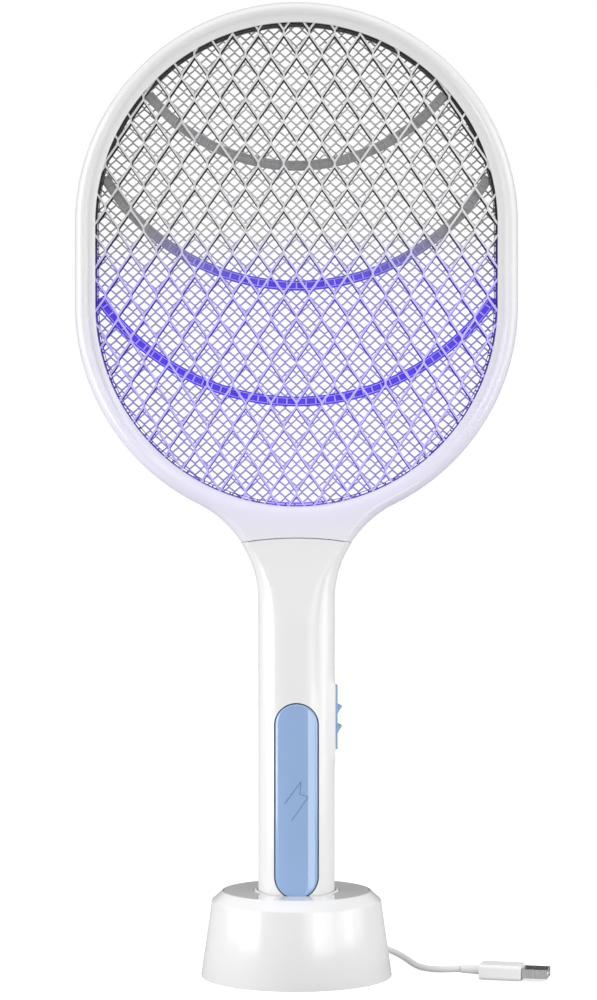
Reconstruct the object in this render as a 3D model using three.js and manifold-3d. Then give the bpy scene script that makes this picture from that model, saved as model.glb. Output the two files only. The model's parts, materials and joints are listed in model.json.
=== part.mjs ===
// Electric fly swatter standing in its charging base, with its USB charging cable.
// Millimetres, +Z up. The origin is on the table under the middle of the base.
// The racket's front faces -Y.
import * as THREE from "three";
import { mergeVertices } from "three/addons/utils/BufferGeometryUtils.js";
import Module from "manifold-3d";

const wasm = await Module();
wasm.setup();

// ---------------------------------------------------------------- driving dimensions
const GAP = 0.3; // between neighbouring pieces that touch on the real object
const SEAM_GAP = 0.3; // between the front and the rear half of a casing
const WALL = 2.2; // casing walls

// Head
const OPENING_R = 100; // both round ends of the opening
const OPENING_STRAIGHT = 40.5; // the straight sides between them
const RIM_WIDTH = 10.2;
const HEAD_DEPTH = 24;
const RIM_ROUND = 5; // how far in from the edge the rim's rounding starts
const RIM_ROUND_DEPTH = 7;
const LIP_WIDTH = 4.2; // sunk lip round the opening
const LIP_DEPTH = 1.2;
const ARC_STEP = Math.PI / 24; // the angle between the points of an outline's arcs
const RIM_STEPS = 3; // facets across the rim's rounding
const TURNED_SIDES = 32; // facets round a turned piece

// Neck and handle
const GRIP_LENGTH = 173.5; // from the bottom end to where the neck starts to widen
const NECK_FILLET = 53.4;
const HANDLE_HALF_WIDTH = 19.1;
const HANDLE_HALF_DEPTH = 15;
const GRIP_CORNER = [15, 12.5]; // rounding of the grip's section, across and in depth
const SEAM_RISE = 28.7; // the seam between head and handle, above the start of the neck
const SEAM_CROWN = 2.3; // how far the seam rises in its middle

// Grids
const FRONT_GRILLE_THICK = 1.4;
const REAR_GRILLE_THICK = 0.5;
const GRILLE_OVERLAP = 4; // how far a grille reaches into the rim
const DIAMOND_WIDTH = 12.7;
const DIAMOND_HEIGHT = 21.9;
const STRIP_WIDTH = 1.5;
const GRID_THICK = 1;
const GRID_STRIP = 1.4;
const GRID_BORDER = 2.5;
const GRILLE_COARSENESS = 2; // real diamonds across one of the front grille's
const GRID_COARSENESS = 3; // and across one of the live grid's behind it
const CARRIER_DEPTH = 12.8;
const CARRIER_WALL = 2;
const RIB_WIDTH = 5;
const RIB_DEPTH = 5;
const RIBS = [
  // height of the rib's ends and of its middle, above the bottom of the opening
  { name: "upper_rib", ends: 208, middle: 169.5 },
  { name: "middle_rib", ends: 166, middle: 110 },
  { name: "lower_rib", ends: 104, middle: 52 },
];

// Lamp at the bottom of the opening
const LAMP_HALF_WIDTH = 15;
const LAMP_RISE = 2.5; // the window's flat top, above the bottom of the opening
const LAMP_DEPTH = 10;
const LED_R = 2.2;
const LED_SPACING = 9;

// Press plate in the handle's front
const PLATE_R = 10.6;
const PLATE_TOP = 122.3; // above the handle's bottom end
const PLATE_BOTTOM = 26;
const PLATE_THICK = 3.7;
const PLATE_FLANGE = 1.6; // how far the flange reaches behind the handle's wall
const PLATE_TRAVEL = 0.8;
const WINDOW_CLEARANCE = 0.3;
const TACT_HEIGHT = 97.5; // the push switch's middle, above the handle's bottom end
const PLUNGER_R = 1.7;
const SPRING_SPACING = 14;
const SPRING_R = 2.4;
const SPRING_WIRE_R = 0.3;
const SPRING_TURNS = 3.5;

// Side switch
const SWITCH_HEIGHT = 113; // its middle, above the handle's bottom end
const BOSS_LENGTH = 43;
const BOSS_WIDTH = 14;
const BOSS_PROUD = 0.4;
const KNOB_LENGTH = 31.9;
const KNOB_WIDTH = 8;
const KNOB_SINK = 1.2; // how deep the knob's plate lies in the boss
const KNOB_PROUD = 1.2;
const KNOB_TRAVEL = 3.5; // downwards
const TOOTH_HEIGHT = 2.2;
const TOOTH_LENGTH = 5.2;
const TOOTH_SLANT = 1.3;
const TOOTH_PITCH = 9.5;
const FIRST_TOOTH = 9; // its top edge, below the knob's top
const STEM_WIDTH = 3;
const STEM_LENGTH = 5;
const SLIDE_SWITCH_X = 12; // the face of the switch that the stem runs along
const SLIDE_SWITCH = { width: 6, depth: 8.2, length: 16 };

// Parts inside the handle
const CELL_R = 9.15;
const CELL_LENGTH = 65;
const CELL_BOTTOM = 10.5; // above the handle's bottom end
const CELL_Y = 2.4;
const BOARD_THICK = 1.6;
const BOARD_Y = -5.2; // the main board's middle plane
const BOARD_HALF_WIDTH = 13;
const BOARD_LENGTH = 89;
const END_CAP_THICK = 2.7;
const CONTACT_SPACING = 12;
const CONTACT_R = 2.3;
const SCREW_SHAFT_R = 1.3;
const SCREW_HEAD_R = 2.6;
const SCREW_BOSS_R = 3.2;
const SCREW_LENGTH = 15;
const SCREW_HEAD_THICK = 1.6;
const SCREW_HEAD_SINK = 2; // how far a screw's head lies under the casing's back
const HEAD_SCREWS_X = [-24, 24];
const HANDLE_SCREWS_X = [-11, 11];
const HANDLE_SCREW_RISE = 9; // above the start of the neck
const HANDLE_SCREW_BACK = 13.4; // the neck's back surface at the handle's screws

// Base
const BASE_R = 47;
const BASE_SHOULDER_R = 42.5;
const BASE_TOP_R = 36.75;
const BASE_HEIGHT = 42.5;
const BASE_BEVEL = 4.5;
const BASE_LIFT = 0.8; // the shell's lower edge, above the table
const BASE_WALL = 2.2;
const FOOT_THICK = 0.7;
const COVER_THICK = 2.2;
const BALLAST_THICK = 3;
const SOCKET_CLEARANCE = 0.6;
const SOCKET_WALL = 2;
const SOCKET_FLOOR = 14.2; // height of the socket's floor above the table
const COLLAR_PROUD = 2; // at the sides and at the back; the front is level with the top plate
const COLLAR_FRONT_Y = -8; // where the low front starts
const TOP_PLATE_THICK = 1.3;
const PIN_R = 1.1;
const PIN_TRAVEL = 1;
const SOCKET_FLANGE = 1.4;
const BASE_SCREW_RADIUS = 39;
const BASE_SCREW_ANGLES = { base_screw_front: -90, base_screw_right: 30, base_screw_left: 150 };

// Cable
const CABLE_R = 1.55;
const CABLE_SIDES = 8;
const COIL_R = 18.6; // middle of the coil's turns
const COIL_HALF_WIDTH = 3.35;
const COIL_HEIGHT = 10.6;
const USB_HEIGHT = 10.7; // the inlet's middle, above the table
const INLET_SETBACK = 1; // the inlet's face, inside the shell's wall
const COIL_CENTRE = [18.6, 122];
const C_TIP = { halfWidth: 4.15, halfHeight: 1.2, length: 6.6 };
const C_BODY = { halfWidth: 6.1, halfHeight: 3.2, length: 17 };
const C_RELIEF = { length: 9, r0: 2.1, r1: 1.8 };
const A_TIP = { halfWidth: 6, halfHeight: 2.25, length: 12.5, wall: 0.4 };
const A_BODY = { halfWidth: 7.4, halfHeight: 3.7, length: 21 };
const A_RELIEF = { length: 10, r0: 2.4, r1: 1.9 };
const A_PLACE = { x: 82, y: -6, z: 3.9, turn: -14 }; // where the cable ends in the USB-A strain relief

// ---------------------------------------------------------------- places worked out from them
const HANDLE_BOTTOM = SOCKET_FLOOR + GAP;
const NECK_Z = HANDLE_BOTTOM + GRIP_LENGTH;
const HEAD_R = OPENING_R + RIM_WIDTH;
const FILLET_X = HANDLE_HALF_WIDTH + NECK_FILLET;
const HEAD_LOW_Z = NECK_Z + Math.sqrt((HEAD_R + NECK_FILLET) ** 2 - FILLET_X ** 2);
const HEAD_HIGH_Z = HEAD_LOW_Z + OPENING_STRAIGHT;
const OPENING_BOTTOM = HEAD_LOW_Z - OPENING_R;
const SEAM_Z = NECK_Z + SEAM_RISE;
const FRONT_Y = -HEAD_DEPTH / 2;
const CARRIER_FRONT = -CARRIER_DEPTH / 2;
const FRONT_GRILLE_Y = CARRIER_FRONT - GAP - FRONT_GRILLE_THICK;
const REAR_GRILLE_Y = CARRIER_DEPTH / 2 + GAP;
const HEAD_CAVITY = [FRONT_GRILLE_Y - GAP, REAR_GRILLE_Y + REAR_GRILLE_THICK + GAP];
const CARRIER_R = HEAD_R - WALL - GAP;
const SWITCH_Z = HANDLE_BOTTOM + SWITCH_HEIGHT;
const BOSS_X = HANDLE_HALF_WIDTH + BOSS_PROUD;
const KNOB_TOP = SWITCH_Z + (KNOB_LENGTH + KNOB_TRAVEL) / 2;
const STEM_Z = KNOB_TOP - KNOB_LENGTH / 2;
const PLATE_INNER_Y = -HANDLE_HALF_DEPTH + PLATE_THICK;
const BOARD_FRONT = BOARD_Y - BOARD_THICK / 2;
const BOARD_REAR = BOARD_Y + BOARD_THICK / 2;
const CELL_Z = HANDLE_BOTTOM + CELL_BOTTOM;
const BOARD_Z = CELL_Z + CELL_LENGTH + 3;
const COVER_Z = FOOT_THICK + GAP;
const BALLAST_Z = COVER_Z + COVER_THICK + GAP;
const CHARGE_BOARD_Z = BALLAST_Z + BALLAST_THICK + GAP;
const CHARGE_BOARD_TOP = CHARGE_BOARD_Z + BOARD_THICK;
const HEAD_SCREW_Z = SEAM_Z + SEAM_CROWN + SCREW_BOSS_R + GAP;
const HANDLE_SCREW_Z = NECK_Z + HANDLE_SCREW_RISE;
const TACT_Z = HANDLE_BOTTOM + TACT_HEIGHT;
const INLET_FACE = baseInnerRadius(USB_HEIGHT) - INLET_SETBACK;
const COVER_R = baseInnerRadius(COVER_Z + COVER_THICK) - GAP;
const BALLAST_R = baseInnerRadius(BALLAST_Z + BALLAST_THICK) - 1;

// ---------------------------------------------------------------- helpers
const swatter = new THREE.Group();

/** A closed three.js geometry as a manifold-3d solid. */
function solid(geometry) {
  const bare = geometry.clone();
  bare.deleteAttribute("normal");
  bare.deleteAttribute("uv");
  const merged = mergeVertices(bare, 1e-4);
  return new wasm.Manifold(
    new wasm.Mesh({
      numProp: 3,
      vertProperties: merged.attributes.position.array,
      triVerts: new Uint32Array(merged.index.array),
    }),
  );
}

/** A manifold-3d solid as a three.js geometry. */
function geometryOf(made) {
  const mesh = made.getMesh();
  const stride = mesh.numProp;
  const points = new Float32Array(mesh.numVert * 3);
  for (let i = 0; i < mesh.numVert; i++) {
    points.set(mesh.vertProperties.subarray(i * stride, i * stride + 3), i * 3);
  }
  const geometry = new THREE.BufferGeometry();
  geometry.setAttribute("position", new THREE.BufferAttribute(points, 3));
  geometry.setIndex(new THREE.BufferAttribute(mesh.triVerts, 1));
  geometry.computeVertexNormals();
  return geometry;
}

/** Adds a named mesh of a solid or a geometry to a group. */
function add(name, shape, material, group = swatter) {
  const geometry = shape.isBufferGeometry ? shape : geometryOf(shape);
  const mesh = new THREE.Mesh(geometry, material);
  mesh.name = name;
  group.add(mesh);
  return mesh;
}

/** A plate with its outline in X and Z, from y = front to y = front + thick. */
function plate(shape, front, thick, bevel) {
  const settings = { depth: thick, bevelEnabled: false };
  if (bevel) {
    Object.assign(settings, {
      depth: thick - 2 * bevel.depth,
      bevelEnabled: true,
      bevelThickness: bevel.depth,
      bevelSize: bevel.size,
      bevelOffset: -bevel.size,
      bevelSegments: RIM_STEPS,
    });
  }
  const geometry = new THREE.ExtrudeGeometry(shape, settings);
  geometry.rotateX(Math.PI / 2);
  geometry.translate(0, front + thick - (bevel ? bevel.depth : 0), 0);
  return geometry;
}

/** A box between two corners. */
function block([x0, y0, z0], [x1, y1, z1]) {
  const geometry = new THREE.BoxGeometry(x1 - x0, y1 - y0, z1 - z0);
  return geometry.translate((x0 + x1) / 2, (y0 + y1) / 2, (z0 + z1) / 2);
}

/** A round bar standing on (x, y) from z0 to z1. */
function post(x, y, z0, z1, r, sides = 20, rTop = r) {
  const geometry = new THREE.CylinderGeometry(rTop, r, z1 - z0, sides);
  return geometry.rotateX(Math.PI / 2).translate(x, y, (z0 + z1) / 2);
}

/** A round bar along Y, from y0 to y1. */
function pinAlongY(x, z, y0, y1, r, sides = 16) {
  const geometry = new THREE.CylinderGeometry(r, r, y1 - y0, sides);
  return geometry.translate(x, (y0 + y1) / 2, z);
}

/** A solid of revolution about Z, from a closed profile of [radius, height] points. */
function turned(profile, segments = TURNED_SIDES) {
  const points = profile.map(([r, z]) => new THREE.Vector2(r, z));
  if (profile[0][0] > 0) points.push(points[0].clone());
  return new THREE.LatheGeometry(points, segments).rotateX(Math.PI / 2);
}

/** A shape made of arcs, each [x, z, radius, start angle, end angle], joined by straight lines. */
function arcShape(arcs, step = ARC_STEP) {
  const points = [];
  for (const [x, z, r, start, end] of arcs) {
    const count = Math.max(2, Math.ceil(Math.abs(end - start) / step - 1e-6));
    for (let i = 0; i <= count; i++) {
      const angle = start + ((end - start) * i) / count;
      const point = new THREE.Vector2(x + r * Math.cos(angle), z + r * Math.sin(angle));
      const last = points[points.length - 1];
      if (!last || last.distanceTo(point) > 1e-3) points.push(point);
    }
  }
  return new THREE.Shape(points);
}

/** The long shape with round ends that the opening, grilles and carrier share. */
function stadium(r, bottomZ = HEAD_LOW_Z, topZ = HEAD_HIGH_Z, step = ARC_STEP) {
  return arcShape([[0, topZ, r, 0, Math.PI], [0, bottomZ, r, Math.PI, 2 * Math.PI]], step);
}

/** The outline of head and neck, inset from the outside by d, open downwards past the seam to lowZ. */
function headOutline(d, lowZ) {
  const r = HEAD_R - d;
  const fillet = NECK_FILLET + d;
  const touch = Math.atan2(HEAD_LOW_Z - NECK_Z, FILLET_X); // from the fillet's centre up to the head's centre
  const low = Math.asin((lowZ - NECK_Z) / fillet);
  return arcShape([
    [FILLET_X, NECK_Z, fillet, Math.PI - low, Math.PI - touch],
    [0, HEAD_LOW_Z, r, -touch, 0],
    [0, HEAD_HIGH_Z, r, 0, Math.PI],
    [0, HEAD_LOW_Z, r, Math.PI, Math.PI + touch],
    [-FILLET_X, NECK_Z, fillet, touch, low],
  ]);
}

/** Everything above (or below) the curved seam between head and handle. */
function seamRegion(above, clearance) {
  const halfWidth = HEAD_R;
  const chord = FILLET_X - NECK_FILLET * Math.cos(Math.asin(SEAM_RISE / NECK_FILLET));
  const crownR = (chord ** 2 + SEAM_CROWN ** 2) / (2 * SEAM_CROWN);
  const shape = new THREE.Shape();
  const steps = 8;
  const level = (x) => SEAM_Z + clearance + Math.sqrt(crownR ** 2 - x ** 2) - crownR + SEAM_CROWN;
  shape.moveTo(-halfWidth, level(chord));
  for (let i = 0; i <= steps; i++) {
    const x = -chord + (2 * chord * i) / steps;
    shape.lineTo(x, level(x));
  }
  shape.lineTo(halfWidth, level(chord));
  const farZ = above ? HEAD_HIGH_Z + 2 * HEAD_R : -HEAD_R;
  shape.lineTo(halfWidth, farZ);
  shape.lineTo(-halfWidth, farZ);
  shape.closePath();
  return solid(plate(shape, -HEAD_DEPTH, 2 * HEAD_DEPTH));
}

/** One half of space: in front of the casing's seam (side -1) or behind it (side 1). */
function halfSpace(side) {
  const far = 4 * HEAD_DEPTH;
  const y = side < 0 ? [-far, -SEAM_GAP / 2] : [SEAM_GAP / 2, far];
  return solid(block([-2 * HEAD_R, y[0], -HEAD_R], [2 * HEAD_R, y[1], HEAD_HIGH_Z + 2 * HEAD_R]));
}

/** How far the neck has changed from the grip's section to the head's, from 0 to 1. */
function neckShare(z) {
  const start = NECK_Z - SEAM_RISE / 2;
  return THREE.MathUtils.smoothstep(z, start, SEAM_Z);
}

/** The handle's section at height z, inset by d, as points round it. */
function handleSection(z, d, steps = 5) {
  const share = neckShare(z);
  const rise = Math.max(0, z - NECK_Z);
  const halfWidth = FILLET_X - Math.sqrt(NECK_FILLET ** 2 - rise ** 2) - d;
  const halfDepth = THREE.MathUtils.lerp(HANDLE_HALF_DEPTH, HEAD_DEPTH / 2, share) - d;
  const rx = Math.max(0.5, THREE.MathUtils.lerp(GRIP_CORNER[0], RIM_ROUND, share) - d);
  const ry = Math.max(0.5, THREE.MathUtils.lerp(GRIP_CORNER[1], RIM_ROUND_DEPTH, share) - d);
  const points = [];
  for (let corner = 0; corner < 4; corner++) {
    const sx = corner === 0 || corner === 3 ? 1 : -1;
    const sy = corner < 2 ? 1 : -1;
    for (let i = 0; i <= steps; i++) {
      const angle = ((corner + i / steps) * Math.PI) / 2;
      const x = sx * (halfWidth - rx) + rx * Math.cos(angle);
      const y = sy * (halfDepth - ry) + ry * Math.sin(angle);
      points.push(new THREE.Vector3(x, y, z));
    }
  }
  return points;
}

/** A closed loft through rings of equal length, capped at both ends. */
function loft(rings) {
  const count = rings[0].length;
  const positions = rings.flat().flatMap((p) => [p.x, p.y, p.z]);
  const index = [];
  for (let r = 0; r + 1 < rings.length; r++) {
    for (let i = 0; i < count; i++) {
      const a = r * count + i;
      const b = r * count + ((i + 1) % count);
      index.push(a, b, b + count, a, b + count, a + count);
    }
  }
  const top = (rings.length - 1) * count;
  for (let i = 1; i + 1 < count; i++) {
    index.push(0, i + 1, i);
    index.push(top, top + i, top + i + 1);
  }
  const geometry = new THREE.BufferGeometry();
  geometry.setAttribute("position", new THREE.Float32BufferAttribute(positions, 3));
  geometry.setIndex(index);
  return geometry;
}

/** The handle's body from z0 to z1, inset by d. A negative d is larger than the handle. */
function handleBody(d, z0, z1) {
  const levels = [z0];
  const bendStart = NECK_Z - SEAM_RISE / 2;
  const bends = 6;
  for (let i = 0; i <= bends; i++) {
    const z = bendStart + ((SEAM_Z + SEAM_CROWN - bendStart) * i) / bends;
    if (z > z0 && z < z1) levels.push(z);
  }
  levels.push(z1);
  return solid(loft(levels.map((z) => handleSection(z, d))));
}

/** A tube of the cable's size through the points. */
function cableTube(points, r = CABLE_R, step = 2.5 * 2 * CABLE_R, sides = CABLE_SIDES) {
  const path = new THREE.CatmullRomCurve3(points.map((p) => new THREE.Vector3(...p)));
  const section = new THREE.Shape();
  for (let i = 0; i < sides; i++) {
    const angle = (2 * Math.PI * (i + 0.5)) / sides;
    const point = [r * Math.cos(angle), r * Math.sin(angle)];
    if (i) section.lineTo(...point);
    else section.moveTo(...point);
  }
  section.closePath();
  const steps = Math.max(3, Math.round(path.getLength() / step));
  return new THREE.ExtrudeGeometry(section, { steps, extrudePath: path, bevelEnabled: false });
}

// ---------------------------------------------------------------- materials
const plastic = (color, roughness) => new THREE.MeshStandardMaterial({ color, roughness, metalness: 0 });
const metal = (color, roughness) => new THREE.MeshStandardMaterial({ color, roughness, metalness: 1 });
const whiteGloss = plastic(0xf4f4f4, 0.25);
const greyPlate = plastic(0x9a9a9a, 0.5);
const bluePlastic = plastic(0x8fb0dc, 0.3);
const darkPlastic = plastic(0x35353a, 0.5);
const blackRubber = plastic(0x222222, 0.8);
const whiteCable = plastic(0xf2f2f2, 0.5);
const boardGreen = plastic(0x1f6b3a, 0.5);
const lampViolet = plastic(0x8a5cff, 0.2);
const gridAluminium = metal(0xd5d5d8, 0.3);
const gridSteel = metal(0x5a5a60, 0.4);
const steel = metal(0xb5b5b8, 0.35);
const brass = metal(0xd8b45a, 0.3);
const cellWrap = plastic(0x3a6fb0, 0.4);

// ---------------------------------------------------------------- head
/** Both halves of the head's casing: a ring round the opening, which runs down into the neck. */
function buildHeadFrames() {
  const bevel = { size: RIM_ROUND, depth: RIM_ROUND_DEPTH };
  const outside = solid(plate(headOutline(0, NECK_Z), FRONT_Y, HEAD_DEPTH, bevel));
  const cavity = solid(plate(headOutline(WALL, NECK_Z), HEAD_CAVITY[0], HEAD_CAVITY[1] - HEAD_CAVITY[0]));
  const through = solid(plate(stadium(OPENING_R), -HEAD_DEPTH, 2 * HEAD_DEPTH));
  let body = outside.subtract(cavity).subtract(through).intersect(seamRegion(true, GAP / 2));
  for (const front of [FRONT_Y - LIP_DEPTH, -FRONT_Y - LIP_DEPTH]) {
    body = body.subtract(solid(plate(stadium(OPENING_R + LIP_WIDTH), front, 2 * LIP_DEPTH)));
  }
  for (const x of HEAD_SCREWS_X) {
    const boss = solid(pinAlongY(x, HEAD_SCREW_Z, HEAD_CAVITY[0] - GAP, HEAD_CAVITY[1] + GAP, SCREW_BOSS_R));
    body = body.add(boss);
  }
  for (const x of HEAD_SCREWS_X) body = body.subtract(screwHole(x, HEAD_SCREW_Z, HEAD_DEPTH / 2));
  add("head_front_frame", body.intersect(halfSpace(-1)), whiteGloss);
  add("head_rear_frame", body.intersect(halfSpace(1)), whiteGloss);
}


/** The clearance hole and counterbore of a screw that goes in from the back, whose surface is at y = back. */
function screwHole(x, z, back) {
  const seat = back - SCREW_HEAD_SINK - SCREW_HEAD_THICK - GAP;
  const shaft = pinAlongY(x, z, seat - SCREW_LENGTH, seat + 1, SCREW_SHAFT_R + GAP);
  const head = pinAlongY(x, z, seat, back + 5, SCREW_HEAD_R + GAP);
  return solid(shaft).add(solid(head));
}

/** A cross-head screw lying along Y, with its head towards the back. */
function screw(x, z, back) {
  const top = back - SCREW_HEAD_SINK;
  const seat = top - SCREW_HEAD_THICK;
  const shaft = solid(pinAlongY(x, z, seat - SCREW_LENGTH + 1, seat + 0.5, SCREW_SHAFT_R, 12));
  const head = solid(pinAlongY(x, z, seat, top, SCREW_HEAD_R));
  const slot = (w, h) => solid(block([x - w, top - 0.8, z - h], [x + w, top + 1, z + h]));
  return shaft.add(head).subtract(slot(1.5, 0.35).add(slot(0.35, 1.5)));
}

/** A grid of diamonds, cut out of one sheet that ends at radius r. */
function diamondSheet({ r, front, thick, width, height, strip, border }) {
  const sheet = solid(plate(stadium(r), front, thick));
  const inner = solid(plate(stadium(r - border), front - 1, thick + 2));
  const slope = Math.atan2(height, width);
  const halfW = (width - strip / Math.sin(slope)) / 2;
  const halfH = (height - strip / Math.cos(slope)) / 2;
  const hole = new THREE.Shape();
  hole.moveTo(halfW, 0);
  hole.lineTo(0, halfH);
  hole.lineTo(-halfW, 0);
  hole.lineTo(0, -halfH);
  hole.closePath();
  const cutter = solid(plate(hole, front - 1, thick + 2));
  const middle = (HEAD_LOW_Z + HEAD_HIGH_Z) / 2;
  const holes = [];
  const columns = Math.ceil(r / width) + 1;
  const rows = Math.ceil((r + OPENING_STRAIGHT / 2) / height) + 1;
  for (let half = 0; half < 2; half++) {
    for (let i = -columns; i <= columns; i++) {
      for (let j = -rows; j <= rows; j++) {
        const x = (i + half / 2) * width;
        const z = middle + (j + half / 2) * height;
        holes.push(cutter.translate(x, 0, z));
      }
    }
  }
  const all = wasm.Manifold.union(holes).intersect(inner);
  const made = sheet.subtract(all);
  const pieces = made.decompose();
  return pieces.reduce((a, b) => (a.volume() > b.volume() ? a : b));
}

/** The two grilles, the live grid between them, the carrier that spaces them and its three ribs. */
function buildGrids() {
  const grille = { r: OPENING_R + GRILLE_OVERLAP, border: GRILLE_OVERLAP };
  add(
    "front_grille",
    diamondSheet({
      ...grille,
      front: FRONT_GRILLE_Y,
      thick: FRONT_GRILLE_THICK,
      width: DIAMOND_WIDTH * GRILLE_COARSENESS,
      height: DIAMOND_HEIGHT * GRILLE_COARSENESS,
      strip: STRIP_WIDTH,
    }),
    gridAluminium,
  );
  add(
    "centre_grid",
    diamondSheet({
      r: OPENING_R - GAP,
      border: GRID_BORDER,
      front: -GRID_THICK / 2,
      thick: GRID_THICK,
      width: DIAMOND_WIDTH * GRID_COARSENESS,
      height: DIAMOND_HEIGHT * GRID_COARSENESS,
      strip: GRID_STRIP,
    }),
    gridSteel,
  );
  add("rear_grille", plate(stadium(grille.r), REAR_GRILLE_Y, REAR_GRILLE_THICK), gridAluminium);

  const ring = solid(plate(stadium(CARRIER_R), CARRIER_FRONT, CARRIER_DEPTH));
  const hole = solid(plate(stadium(OPENING_R), -HEAD_DEPTH, 2 * HEAD_DEPTH));
  const channelDepth = CARRIER_DEPTH - 2 * CARRIER_WALL;
  const channelRing = solid(plate(stadium(CARRIER_R + 1), -channelDepth / 2, channelDepth));
  const channelFloor = solid(plate(stadium(OPENING_R + CARRIER_WALL), -HEAD_DEPTH, 2 * HEAD_DEPTH));
  const channel = channelRing.subtract(channelFloor);
  const lampGap = solid(
    block(
      [-LAMP_HALF_WIDTH - GAP, -LAMP_DEPTH / 2 - GAP, HEAD_LOW_Z - HEAD_R],
      [LAMP_HALF_WIDTH + GAP, LAMP_DEPTH / 2 + GAP, OPENING_BOTTOM + LAMP_RISE],
    ),
  );
  add("grid_carrier_ring", ring.subtract(hole).subtract(channel).subtract(lampGap), darkPlastic);

  const inside = solid(plate(stadium(OPENING_R - GAP), -HEAD_DEPTH, 2 * HEAD_DEPTH));
  const ribFront = -GRID_THICK / 2 - GAP - RIB_DEPTH;
  for (const { name, ends, middle } of RIBS) {
    const band = ribBand(OPENING_BOTTOM + ends, OPENING_BOTTOM + middle, ribFront);
    add(name, band.intersect(inside), darkPlastic);
  }
}

/** A curved band that sags from the sides of the opening to its middle. */
function ribBand(endZ, middleZ, front) {
  const inset = Math.max(0, endZ - HEAD_HIGH_Z);
  const half = Math.sqrt(OPENING_R ** 2 - inset ** 2);
  const sag = endZ - middleZ;
  const r = (half ** 2 + sag ** 2) / (2 * sag);
  const spread = Math.asin(half / r) + 0.12; // runs on past the opening, which then trims it
  const centreZ = middleZ + r;
  const down = -Math.PI / 2;
  const band = arcShape([
    [0, centreZ, r + RIB_WIDTH / 2, down - spread, down + spread],
    [0, centreZ, r - RIB_WIDTH / 2, down + spread, down - spread],
  ]);
  return solid(plate(band, front, RIB_DEPTH));
}

/** The lamp: a board with three light-emitting diodes under a clear window. */
function buildLamp() {
  const windowBottom = OPENING_BOTTOM - 5.5;
  const top = OPENING_BOTTOM + LAMP_RISE - GAP;
  const window = block(
    [-LAMP_HALF_WIDTH, -LAMP_DEPTH / 2, windowBottom],
    [LAMP_HALF_WIDTH, LAMP_DEPTH / 2, top],
  );
  const gridGap = block(
    [-LAMP_HALF_WIDTH - 1, -RIB_DEPTH - 1, OPENING_BOTTOM - GAP],
    [LAMP_HALF_WIDTH + 1, GRID_THICK / 2 + GAP, top + 1],
  );
  add("lamp_window", solid(window).subtract(solid(gridGap)), lampViolet);
  const boardTop = windowBottom - GAP - LED_R - 2;
  let board = solid(
    block([-LAMP_HALF_WIDTH - 1, -5.5, boardTop - BOARD_THICK], [LAMP_HALF_WIDTH + 1, 5.5, boardTop]),
  );
  for (const x of [-LED_SPACING, 0, LED_SPACING]) {
    board = board.add(solid(post(x, 0, boardTop - 0.5, boardTop + 2, LED_R, 14)));
    board = board.add(solid(post(x, 0, boardTop + 2, windowBottom - GAP, LED_R, 14, LED_R / 2)));
  }
  add("lamp_board", board, boardGreen);
}

// ---------------------------------------------------------------- handle
/** A prism with round ends in X and Z, for the press plate and its window. */
function platePrism(r) {
  const low = HANDLE_BOTTOM + PLATE_BOTTOM + PLATE_R;
  const high = HANDLE_BOTTOM + PLATE_TOP - PLATE_R;
  const shape = stadium(r, low, high, 3 * ARC_STEP);
  return solid(plate(shape, -2 * HANDLE_HALF_DEPTH, 2 * HANDLE_HALF_DEPTH + BOARD_Y));
}

/** Both shells of the handle, with the side switch's boss and the screw bosses. */
function buildHandleShells() {
  const shellBottom = HANDLE_BOTTOM + END_CAP_THICK + GAP;
  const top = SEAM_Z + 2 * SEAM_CROWN;
  const outside = handleBody(0, shellBottom, top);
  const inside = handleBody(WALL, shellBottom - 1, top + 1);
  const boss = block(
    [HANDLE_HALF_WIDTH - WALL + 0.4, -BOSS_WIDTH / 2, SWITCH_Z - BOSS_LENGTH / 2],
    [BOSS_X, BOSS_WIDTH / 2, SWITCH_Z + BOSS_LENGTH / 2],
  );
  let body = outside.add(solid(boss)).subtract(inside);
  const slot = (x0, halfWidth, z0, z1) =>
    solid(block([x0, -halfWidth - GAP, z0 - GAP], [BOSS_X + 2, halfWidth + GAP, z1 + GAP]));
  const knobFloor = BOSS_X - KNOB_SINK - GAP;
  body = body.subtract(slot(knobFloor, KNOB_WIDTH / 2, KNOB_TOP - KNOB_LENGTH - KNOB_TRAVEL, KNOB_TOP));
  const stemHalf = STEM_LENGTH / 2;
  body = body.subtract(slot(0, STEM_WIDTH / 2, STEM_Z - stemHalf - KNOB_TRAVEL, STEM_Z + stemHalf));
  for (const x of HANDLE_SCREWS_X) {
    const depth = HANDLE_HALF_DEPTH - WALL;
    body = body.add(solid(pinAlongY(x, HANDLE_SCREW_Z, -depth, depth, SCREW_BOSS_R)).intersect(outside));
    body = body.subtract(screwHole(x, HANDLE_SCREW_Z, HANDLE_SCREW_BACK));
  }
  body = body.intersect(seamRegion(false, -GAP / 2));
  const front = body.subtract(platePrism(PLATE_R + WINDOW_CLEARANCE)).intersect(halfSpace(-1));
  add("handle_front_shell", front, whiteGloss);
  add("handle_rear_shell", body.intersect(halfSpace(1)), whiteGloss);
}


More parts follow.
